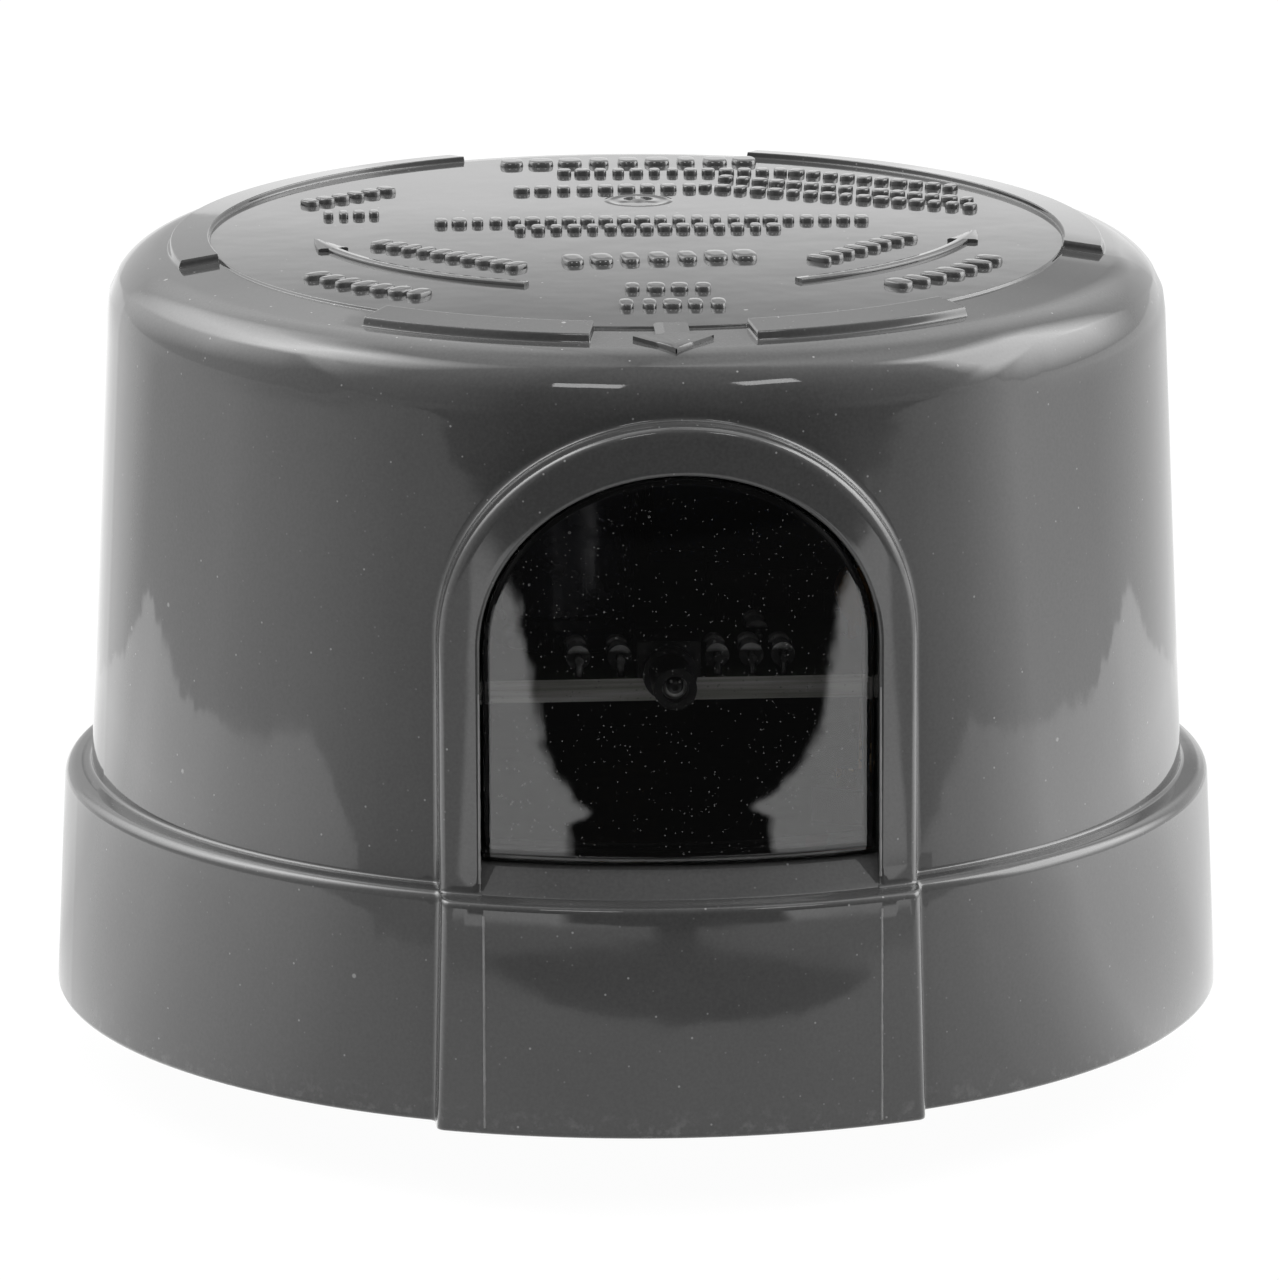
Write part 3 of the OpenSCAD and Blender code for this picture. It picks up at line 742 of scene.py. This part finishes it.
def coverMaterial():
    # grey moulding with a fine grain and dust, glossy but for scuffs along the rim
    tones = {"dark": (0.06, 0.06, 0.06), "light": (0.08, 0.08, 0.08), "dust": (0.32, 0.32, 0.32)}
    material, tree, shader = newMaterial("grey moulding", tones["dark"], 0.2)
    drift = mapTo(tree, math2(tree, "ADD", noiseAt(tree, 60), noiseAt(tree, 4200, 2.0)), 0, 1, 0.7, 1.3)
    dusty = math2(tree, "MAXIMUM", specks(tree, 1.7, 0.1, 0.9), specks(tree, 5.0, 0.2, 0.7))
    fine = times(tree, specks(tree, 1.0, 0.09, 0.8), 0.3)
    scuffed = times(tree, mapTo(tree, noiseAt(tree, 1100, 6.0, 0.65), 0, 0.35, 0.52, 0.7),
                    mapTo(tree, axesOf(tree)["Z"], 1, 0, cover["rimZ"] * mm, (cover["rimZ"] + 2.5) * mm))
    dusty = math2(tree, "MAXIMUM", dusty, math2(tree, "MAXIMUM", fine, scuffed))
    tone = mixColor(tree, drift, tones["dark"], tones["light"])
    gloss = mapTo(tree, noiseAt(tree, 140), 0.035, 0.07, 0.35, 0.65)
    gloss = math2(tree, "ADD", gloss, times(tree, scuffed, 0.4))
    setLook(tree, shader, mixColor(tree, dusty, tone, tones["dust"]), gloss)
    addBump(tree, shader, noiseAt(tree, 180, 2.0), 0.03, 0.4 * mm)
    return material


def paneMaterial():
    # tinted clear plastic with faint dust
    material, tree, shader = newMaterial("smoked pane", (0.5, 0.5, 0.5), 0.04)
    shader.inputs["Transmission Weight"].default_value = 1.0
    shader.inputs["IOR"].default_value = 1.49
    fine = times(tree, specks(tree, 0.45, 0.06, 0.8), 0.6)
    dust = math2(tree, "MAXIMUM", fine, specks(tree, 2.2, 0.11, 0.8))
    tree.links.new(mapTo(tree, dust, 1.0, 0.0), shader.inputs["Transmission Weight"])
    setLook(tree, shader, mixColor(tree, dust, (0.5, 0.5, 0.5), (0.06, 0.06, 0.06)),
            mapTo(tree, noiseAt(tree, 300), 0.0, 0.03))
    return material


def boardMaterial():
    # solder resist on the faces, pale layered fibre on the cut edge
    material, tree, shader = newMaterial("fibre board", (0.1, 0.14, 0.08), 0.4)
    place = addNode(tree, "ShaderNodeTexCoord")
    stretch = addNode(tree, "ShaderNodeMapping")
    stretch.inputs["Scale"].default_value = (60, 60, 2600)
    tree.links.new(place.outputs["Object"], stretch.inputs["Vector"])
    layers = addNode(tree, "ShaderNodeTexNoise")
    layers.inputs["Scale"].default_value = 1.0
    tree.links.new(stretch.outputs["Vector"], layers.inputs["Vector"])
    layered = mapTo(tree, layers.outputs["Fac"], 0, 1, 0.35, 0.6)
    edge = mixColor(tree, layered, (0.5, 0.49, 0.45), (0.95, 0.94, 0.9))
    flat = mapTo(tree, math2(tree, "ABSOLUTE", axesOf(tree, "Normal")["Z"], 0.0), 0, 1, 0.4, 0.6)
    face = mixColor(tree, noiseAt(tree, 200), (0.1, 0.14, 0.08), (0.07, 0.1, 0.06))
    setLook(tree, shader, mixColor(tree, flat, edge, face), mapTo(tree, noiseAt(tree, 500), 0.3, 0.5))
    return material


def resistorMaterial():
    # dark lacquer with a painted highlight: a pale band along the top, with a ragged edge
    material, tree, shader = newMaterial("lacquer coat", (0.02, 0.02, 0.02), 0.2)
    raggedHighlightEdge = mapTo(tree, noiseAt(tree, 900), -0.3, 0.3, 0.3, 0.7)
    # painted highlight: above 23.1 to 23.4 mm the coat turns pale, and the noise only roughens the band's
    # edge
    top = math2(tree, "ADD", mapTo(tree, axesOf(tree)["Z"], 0, 1, 23.1 * mm, 23.4 * mm), raggedHighlightEdge)
    dark = mixColor(tree, noiseAt(tree, 400), (0.02, 0.02, 0.02), (0.035, 0.035, 0.035))
    setLook(tree, shader, mixColor(tree, mapTo(tree, top, 0, 1), dark, (0.9, 0.9, 0.9)),
            mapTo(tree, noiseAt(tree, 700), 0.1, 0.3))
    return material


def sensorMaterial():
    # black case; in the lens's bore, a pale crescent below is painted light on the bore's lower inside, and
    # two pale points above are painted highlights of lamps mirrored in the lens
    lens = {"axisZ": 22.2, "radius": 0.9, "frontY": -33.4, "shadeRise": 0.25, "shadeRadius": 0.6,
            "points": [(-0.27, 0.5), (0.33, 0.48)], "glintRadius": 0.1}
    material, tree, shader = newMaterial("sensor case", (0.012, 0.012, 0.012), 0.2)
    axes = axesOf(tree)

    def within(x, rise, radius):
        # 1 closer than radius to the line along Y at x and rise from the lens's axis
        across = math2(tree, "SUBTRACT", axes["X"], x * mm)
        up = math2(tree, "SUBTRACT", axes["Z"], (lens["axisZ"] + rise) * mm)
        square = math2(tree, "ADD", math2(tree, "POWER", across, 2.0), math2(tree, "POWER", up, 2.0))
        return math2(tree, "LESS_THAN", square, (radius * mm) ** 2)

    # pale is painted light: the bore but for an unlit disc, plus two painted highlight points
    pale = math2(tree, "SUBTRACT", 1.0, within(0, lens["shadeRise"], lens["shadeRadius"]))
    for x, rise in lens["points"]:
        pale = math2(tree, "MAXIMUM", pale, within(x, rise, lens["glintRadius"]))
    inBore = times(tree, within(0, 0, lens["radius"]),
                   math2(tree, "LESS_THAN", axes["Y"], lens["frontY"] * mm))
    pale = times(tree, pale, inBore)
    case = mixColor(tree, noiseAt(tree, 400), (0.012, 0.012, 0.012), (0.02, 0.02, 0.02))
    setLook(tree, shader, mixColor(tree, pale, case, (0.9, 0.9, 0.88)), mapTo(tree, inBore, 0.3, 0.06))
    return material


def metalMaterial(name, color, other, roughness):
    material, tree, shader = mottled(name, color, other, roughness, 0.07, 120, 0.06, 2500)
    shader.inputs["Metallic"].default_value = 1.0
    return material


def plainMaterial(name, color, roughness, bump=0.0):
    other = tuple(0.78 * c for c in color)
    return mottled(name, color, other, roughness, 0.06, 220, bump)[0]


looks = {
    "cover_plastic": coverMaterial(),
    "smoked_pane": paneMaterial(),
    "base_plastic": plainMaterial("black phenolic", (0.022, 0.022, 0.023), 0.42, 0.12),
    "foam_rubber": mottled("foam ring", (0.03, 0.03, 0.031), (0.018, 0.018, 0.018),
                           0.85, 0.08, 400, 0.6, 1600)[0],
    "blade_brass": metalMaterial("blade brass", (0.78, 0.56, 0.24), (0.6, 0.4, 0.16), 0.26),
    "board": boardMaterial(),
    "screw_steel": metalMaterial("zinc screw", (0.62, 0.62, 0.6), (0.5, 0.5, 0.5), 0.3),
    "sensor_epoxy": sensorMaterial(),
    "holder_plastic": plainMaterial("black nylon", (0.012, 0.012, 0.012), 0.45),
    "relay_case": plainMaterial("relay case", (0.03, 0.06, 0.17), 0.3),
    "film_case": plainMaterial("film case", (0.42, 0.3, 0.05), 0.35),
    "can_sleeve": plainMaterial("can sleeve", (0.03, 0.03, 0.045), 0.25),
    "varistor_coat": plainMaterial("dipped coat", (0.03, 0.1, 0.26), 0.3),
    "resistor_coat": plainMaterial("cement coat", (0.2, 0.3, 0.2), 0.6, 0.2),
    "small_resistor_coat": resistorMaterial(),
    "diode_epoxy": plainMaterial("black epoxy", (0.02, 0.02, 0.02), 0.35),
    "ceramic_coat": plainMaterial("ceramic coat", (0.45, 0.24, 0.08), 0.35),
    "wire_black": plainMaterial("black wire", (0.02, 0.02, 0.02), 0.4),
    "wire_red": plainMaterial("red wire", (0.35, 0.02, 0.02), 0.4),
    "wire_white": plainMaterial("white wire", (0.65, 0.65, 0.62), 0.4),
}
flashMaterial = mottled("parting line", (0.16, 0.16, 0.16), (0.34, 0.34, 0.34), 0.5, 0.1, 900)[0]

slots = {part["node"]: part["material_slot"] for part in frame["record"]["subparts"]}
for name, node in nodes.items():
    node.data.materials.clear()
    node.data.materials.append(looks[slots[name]])
    node.data.polygons.foreach_set("use_smooth", np.ones(len(node.data.polygons), bool))
    node.data.set_sharp_from_angle(angle=math.radians(30))
for piece, look in ((coverPiece, looks["cover_plastic"]), (signPiece, looks["cover_plastic"]),
                    (gatePiece, looks["cover_plastic"]), (flashPiece, flashMaterial)):
    piece.data.materials.append(look)
    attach(piece, "root")
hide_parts("cover")
panePiece.data.materials.append(looks["smoked_pane"])
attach(panePiece, "root")
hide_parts("window_lens")
print("materials set")

# Stage: pale floor and surroundings. What the gloss mirrors is shaped apart from what lights the matt colour.
# Headings are in degrees from the window's middle to the right, distances in millimetres from the axis.
stage = {
    "floorZ": -13.0,
    "floorHalf": 6000.0,
    "span": 500.0,
    "peak": 4.0,
    "figureAxis": 4.3,
    "neckAxis": 1.9,
    "figureStart": (112, 117),
    "figureDepth": (0.7, 0.98),
    "deepFrom": (150, 165),
    "leanFrom": (205, 235),
    "tilt": 11.5,
    "tiltEnd": (160, 190),
    "stripAngle": (39.3, 40.3),
    "stripSpan": (168, 370),
    "stripGain": 1.2,
    "closeAxis": -3.5,
    "underFrom": (50, 140),
    "underAngle": (50, 115),
    "underDepth": 0.55,
    "awayFrom": (330, 600),
}
# brightness that the gloss mirrors at each heading: of the floor, and of the surroundings above it
farLevels = [
    (-180, 0.5), (-168, 1.35), (-135, 1.4), (-125, 1.2), (-97, 1.8), (-75, 1.5), (-52, 0.85),
    (52, 0.95), (63, 1.4), (80, 2.7), (105, 1.65), (150, 1.05), (180, 0.5),
]
skyLevels = [
    (-180, 1.0), (-150, 1.5), (-125, 1.4), (-100, 1.6), (-75, 1.0), (-50, 0.6), (-30, 0.08),
    (30, 0.08), (50, 0.6), (63, 0.95), (80, 2.6), (92, 2.75), (130, 1.5), (180, 1.0),
]
# the floor is brighter close by: how far that reaches, and how much it adds, at each angle off the axis
closeReach = [
    (0, 135), (45, 135), (58, 180), (67, 213), (80, 195),
    (103, 187), (119, 214), (128, 172), (145, 140), (180, 130),
]
closeGain = [(0, 0.25), (40, 0.35), (60, 0.85), (115, 0.95), (128, 0.5), (140, 0.15), (180, 0)]
# half angle of the dark figure in front at each distance
darkAngles = [
    (0, 0), (118, 0), (121, 19), (130, 28), (136, 31), (143, 22), (150, 7), (154, 3), (166, 3), (170, 18),
    (200, 18), (206, 14.5), (214, 18.5), (225, 23), (240, 26), (340, 33), (430, 50), (500, 55),
]
floorMesh = bpy.data.meshes.new("floor")
floorCorners = stage["floorHalf"] * mm * np.array([(-1, -1, 0), (1, -1, 0), (1, 1, 0), (-1, 1, 0)])
floorMesh.from_pydata(floorCorners.tolist(), [], [(0, 1, 2, 3)])
floor = bpy.data.objects.new("floor", floorMesh)
floor.location.z = stage["floorZ"] * mm
scene.collection.objects.link(floor)


def curveOf(tree, source, points):
    # curve through points whose coordinates both run from 0 to 1
    node = addNode(tree, "ShaderNodeFloatCurve")
    curve = node.mapping.curves[0]
    for i, (x, y) in enumerate(points):
        if i < 2:
            curve.points[i].location = (x, y)
        else:
            curve.points.new(x, y)
    for point in curve.points:
        point.handle_type = "VECTOR"
    node.mapping.update()
    tree.links.new(source, node.inputs["Value"])
    return node.outputs["Value"]


def between(tree, source, low, high, edge):
    # 1 between low and high, with soft edges
    return times(tree, mapTo(tree, source, 0, 1, low - edge, low + edge),
                 mapTo(tree, source, 1, 0, high - edge, high + edge))


def byHeading(tree, heading, levels):
    turn = math2(tree, "ADD", math2(tree, "DIVIDE", heading, 2 * math.pi), 0.5)
    level = curveOf(tree, turn, [(a / 360 + 0.5, v / stage["peak"]) for a, v in levels])
    return times(tree, level, stage["peak"])


def metres(span):
    return [value * mm for value in span]


def headingOf(tree, axes):
    # angle from the window's middle, to the right
    return math2(tree, "ARCTAN2", axes["X"], times(tree, axes["Y"], -1.0))


def offAxis(tree, heading, axis):
    return math2(tree, "ABSOLUTE", math2(tree, "SUBTRACT", heading, math.radians(axis)), 0.0)


def mirroredFloor(tree):
    # brightness of the floor as the gloss mirrors it
    place = addNode(tree, "ShaderNodeTexCoord")
    length = addNode(tree, "ShaderNodeVectorMath", operation="LENGTH")
    tree.links.new(place.outputs["Object"], length.inputs[0])
    radius = length.outputs["Value"]
    heading = headingOf(tree, axesOf(tree))

    # the bright part close by has a torn edge and dims towards the object on the sides, a painted shadow of
    # the object
    aside = offAxis(tree, heading, stage["closeAxis"])
    share = math2(tree, "DIVIDE", aside, math.pi)
    reachOut = curveOf(tree, share, [(a / 180, r / stage["span"]) for a, r in closeReach])
    reachOut = times(tree, reachOut, stage["span"] * mm)
    torn = mapTo(tree, noiseAt(tree, 90, 6.0, 0.65), -0.006, 0.006, 0.3, 0.7)
    beyond = math2(tree, "SUBTRACT", math2(tree, "ADD", radius, torn), reachOut)
    inside = mapTo(tree, beyond, 1, 0, -0.001, 0.002)
    gain = curveOf(tree, share, [(a / 180, v) for a, v in closeGain])
    level = math2(tree, "ADD", byHeading(tree, heading, farLevels), times(tree, gain, inside))
    # painted shadow: the floor darkens near the object at angles well off the axis
    under = times(tree, mapTo(tree, radius, 1, 0, *metres(stage["underFrom"])),
                  mapTo(tree, aside, 0, stage["underDepth"], *np.radians(stage["underAngle"])))
    level = times(tree, level, math2(tree, "SUBTRACT", 1.0, under))

    # dark figure in front, with a bright strip on each side of it
    ahead = offAxis(tree, heading, stage["figureAxis"])
    strips = mapTo(tree, ahead, stage["stripGain"], 0, *np.radians(stage["stripAngle"]))
    strips = times(tree, strips, between(tree, radius, *metres(stage["stripSpan"]), 0.004))
    level = math2(tree, "ADD", level, strips)
    axisTurn = np.radians([stage["neckAxis"], stage["figureAxis"]])
    lean = mapTo(tree, radius, *axisTurn, *metres(stage["leanFrom"]))
    ahead = math2(tree, "ABSOLUTE", math2(tree, "SUBTRACT", heading, lean), 0.0)
    wobble = mapTo(tree, noiseAt(tree, 60, 2.0), -0.014, 0.014, 0.3, 0.7)
    tilt = times(tree, math2(tree, "SUBTRACT", heading, lean),
                 mapTo(tree, radius, stage["tilt"] * mm, 0, *metres(stage["tiltEnd"])))
    along = math2(tree, "DIVIDE", math2(tree, "ADD", radius, tilt), stage["span"] * mm)
    half = curveOf(tree, along, [(r / stage["span"], a / 90) for r, a in darkAngles])
    half = times(tree, half, math.pi / 2)
    outside = math2(tree, "SUBTRACT", math2(tree, "ADD", ahead, wobble), half)
    outside = math2(tree, "ADD", outside, mapTo(tree, radius, 0.06, 0, *metres(stage["figureStart"])))
    shade = times(tree, mapTo(tree, outside, 1, 0, -0.015, 0.02),
                  mapTo(tree, radius, *stage["figureDepth"], *metres(stage["deepFrom"])))
    level = times(tree, level, math2(tree, "SUBTRACT", 1.0, shade))

    # far away it meets the surroundings
    away = mapTo(tree, radius, 0, 1, *metres(stage["awayFrom"]))
    return math2(tree, "ADD", times(tree, level, math2(tree, "SUBTRACT", 1.0, away)),
                 times(tree, byHeading(tree, heading, skyLevels), away))


def byRay(tree, output, seen, mirrored, lighting):
    # one shader to the camera, one to what mirrors it, and one to all that it lights
    path = addNode(tree, "ShaderNodeLightPath")
    result = lighting
    for ray, shader in (("Is Glossy Ray", mirrored), ("Is Camera Ray", seen)):
        switch = addNode(tree, "ShaderNodeMixShader")
        tree.links.new(path.outputs[ray], switch.inputs["Fac"])
        tree.links.new(result, switch.inputs[1])
        tree.links.new(shader, switch.inputs[2])
        result = switch.outputs["Shader"]
    tree.links.new(result, output.inputs["Surface"])


def floorMaterial():
    material = bpy.data.materials.new("pale floor")
    material.use_nodes = True
    tree = material.node_tree
    tree.nodes.clear()
    mirrored = addNode(tree, "ShaderNodeEmission")
    tree.links.new(mirroredFloor(tree), mirrored.inputs["Strength"])
    paper = addNode(tree, "ShaderNodeBsdfDiffuse")
    paper.inputs["Color"].default_value = (0.42, 0.42, 0.42, 1)
    pale = addNode(tree, "ShaderNodeBsdfDiffuse")
    pale.inputs["Color"].default_value = (0.05, 0.05, 0.05, 1)
    lit = addNode(tree, "ShaderNodeEmission")
    lit.inputs["Strength"].default_value = 0.97
    seen = addNode(tree, "ShaderNodeAddShader")
    tree.links.new(pale.outputs["BSDF"], seen.inputs[0])
    tree.links.new(lit.outputs["Emission"], seen.inputs[1])
    byRay(tree, addNode(tree, "ShaderNodeOutputMaterial"), seen.outputs["Shader"],
          mirrored.outputs["Emission"], paper.outputs["BSDF"])
    return material


floorMesh.materials.append(floorMaterial())

# Glow of the surroundings, in degrees and, where it says rise, by the upward share of the direction
sky = {
    "lowRise": (0.185, 0.245),
    "lowLess": 0.43,
    "behind": (158, 168),
    "glowHeading": (130, 150),
    "glowHeight": (24, 58),
    "glowEdge": 7,
    "topRise": (0.5, 0.95),
    "topGain": 0.55,
}
# Soft lamps that the gloss mirrors, in degrees: the left one is brightest along a slanted line and fades to
# both ends, the right one is even, with a slanted top and a soft foot.
leftLamp = {
    "heading": -112,
    "height": 48,
    "half": 45,
    "foot": (-40, -5),
    "top": (6, 19),
    "slant": 0.3,
    "gain": 10.8,
}
rightLamp = {
    "heading": 100,
    "start": (72, 81),
    "end": (116, 134),
    "foot": (0, 22),
    "top": (45, 53),
    "slant": 0.2,
    "gain": 7.1,
}


def mirroredSky(tree):
    # brightness of the surroundings as the gloss mirrors it
    axes = axesOf(tree, "Generated")
    upward = axes["Z"]
    height = math2(tree, "ARCSINE", upward, 0.0)
    heading = headingOf(tree, axes)
    level = byHeading(tree, heading, skyLevels)

    # straight behind, where the flat top looks, it is brighter low down; higher up there is a glow behind
    low = math2(tree, "SUBTRACT", mapTo(tree, upward, 1.0, 0, *sky["lowRise"]), sky["lowLess"])
    behind = mapTo(tree, heading, 0, 1, *np.radians(sky["behind"]))
    level = times(tree, level, math2(tree, "ADD", times(tree, low, behind), 1.0))
    glow = times(tree, mapTo(tree, offAxis(tree, heading, 0), 0, 1, *np.radians(sky["glowHeading"])),
                 between(tree, height, *np.radians(sky["glowHeight"]), math.radians(sky["glowEdge"])))
    level = math2(tree, "ADD", level, glow)
    level = math2(tree, "ADD", level, mapTo(tree, upward, 0.0, sky["topGain"], *sky["topRise"]))

    # left lamp
    across = math2(tree, "SUBTRACT", heading, math.radians(leftLamp["heading"]))
    over = math2(tree, "SUBTRACT", height, math.radians(leftLamp["height"]))
    over = math2(tree, "SUBTRACT", over, times(tree, across, leftLamp["slant"]))
    aside = math2(tree, "ABSOLUTE", across, 0.0)
    ends = mapTo(tree, aside, leftLamp["gain"], 0, 0, math.radians(leftLamp["half"]))
    rise = times(tree, mapTo(tree, over, 0, 1, *np.radians(leftLamp["foot"])),
                 mapTo(tree, over, 1, 0, *np.radians(leftLamp["top"])))
    level = math2(tree, "ADD", level, times(tree, ends, rise))

    # right lamp
    across = math2(tree, "SUBTRACT", heading, math.radians(rightLamp["heading"]))
    over = math2(tree, "ADD", height, times(tree, across, rightLamp["slant"]))
    ends = mapTo(tree, heading, 0, rightLamp["gain"], *np.radians(rightLamp["start"]))
    ends = times(tree, ends, mapTo(tree, heading, 1, 0, *np.radians(rightLamp["end"])))
    rise = times(tree, mapTo(tree, height, 0, 1, *np.radians(rightLamp["foot"])),
                 mapTo(tree, over, 1, 0, *np.radians(rightLamp["top"])))
    return math2(tree, "ADD", level, times(tree, ends, rise)), upward


def surroundings():
    # white to the camera; lamps and glows to the gloss; to the matt colour, much brighter overhead
    world = bpy.data.worlds.new("studio")
    scene.world = world
    world.use_nodes = True
    tree = world.node_tree
    tree.nodes.clear()
    mirrored, upward = mirroredSky(tree)
    overhead = math2(tree, "POWER", math2(tree, "MAXIMUM", upward, 0.0), 3.0)
    shades = {
        "white": 1.0,
        "glossy": mirrored,
        "ambient": times(tree, overhead, 3.0),
    }
    lights = {}
    for name, level in shades.items():
        light = addNode(tree, "ShaderNodeBackground")
        if isinstance(level, float):
            light.inputs["Strength"].default_value = level
        else:
            tree.links.new(level, light.inputs["Strength"])
        lights[name] = light.outputs["Background"]
    byRay(tree, addNode(tree, "ShaderNodeOutputWorld"), lights["white"], lights["glossy"], lights["ambient"])


surroundings()


def softbox(name, azimuth, elevation, distance, size, power, roll=0.0):
    # lamp at an angle from the window's middle, to the right, facing the object
    lamp = bpy.data.lights.new(name, "AREA")
    lamp.shape = "RECTANGLE"
    lamp.size, lamp.size_y = size
    lamp.energy = power
    lampObject = bpy.data.objects.new(name, lamp)
    flat = distance * math.cos(math.radians(elevation))
    spot = Vector((flat * math.sin(math.radians(azimuth)), -flat * math.cos(math.radians(azimuth)),
                   distance * math.sin(math.radians(elevation))))
    lampObject.location = spot
    lampObject.rotation_euler = (Vector((0, 0, 0.02)) - spot).to_track_quat("-Z", "Y").to_euler()
    lampObject.rotation_euler.rotate_axis("Z", math.radians(roll))
    scene.collection.objects.link(lampObject)
    return lampObject


# the two softboxes light the matt colour only, as the gloss mirrors the soft lamps of the surroundings
softbox("left softbox", -128, 36, 1.3, (0.95, 0.5), 8.5).visible_glossy = False
softbox("right softbox", 113, 29, 1.3, (1.2, 0.36), 7.5, -24).visible_glossy = False
softbox("left strip", -17, 47.5, 1.3, (0.28, 0.16), 0.9)
softbox("right strip", 30, 47.5, 1.3, (0.25, 0.16), 0.8)

# Camera: fitted to the photo's rim, ledge and top, for an image of 1279 x 1280
camera = {
    "place": (-63.9, -814.9, 214.75),
    "down": 13.575,
    "heading": 4.5,
    "focalPixels": 11638.3,
    "imageHeight": 1280,
    "sensor": 36.0,
}
lens = bpy.data.cameras.new("camera")
lens.sensor_fit = "VERTICAL"
lens.sensor_height = camera["sensor"]
lens.lens = camera["focalPixels"] * camera["sensor"] / camera["imageHeight"]
lens.clip_start = 0.01
viewer = bpy.data.objects.new("camera", lens)
viewer.location = Vector(camera["place"]) * mm
viewer.rotation_euler = (math.radians(90 - camera["down"]), 0, math.radians(-camera["heading"]))
scene.collection.objects.link(viewer)
scene.camera = viewer
scene.view_settings.view_transform = "Standard"
print("stage, lights and camera set")
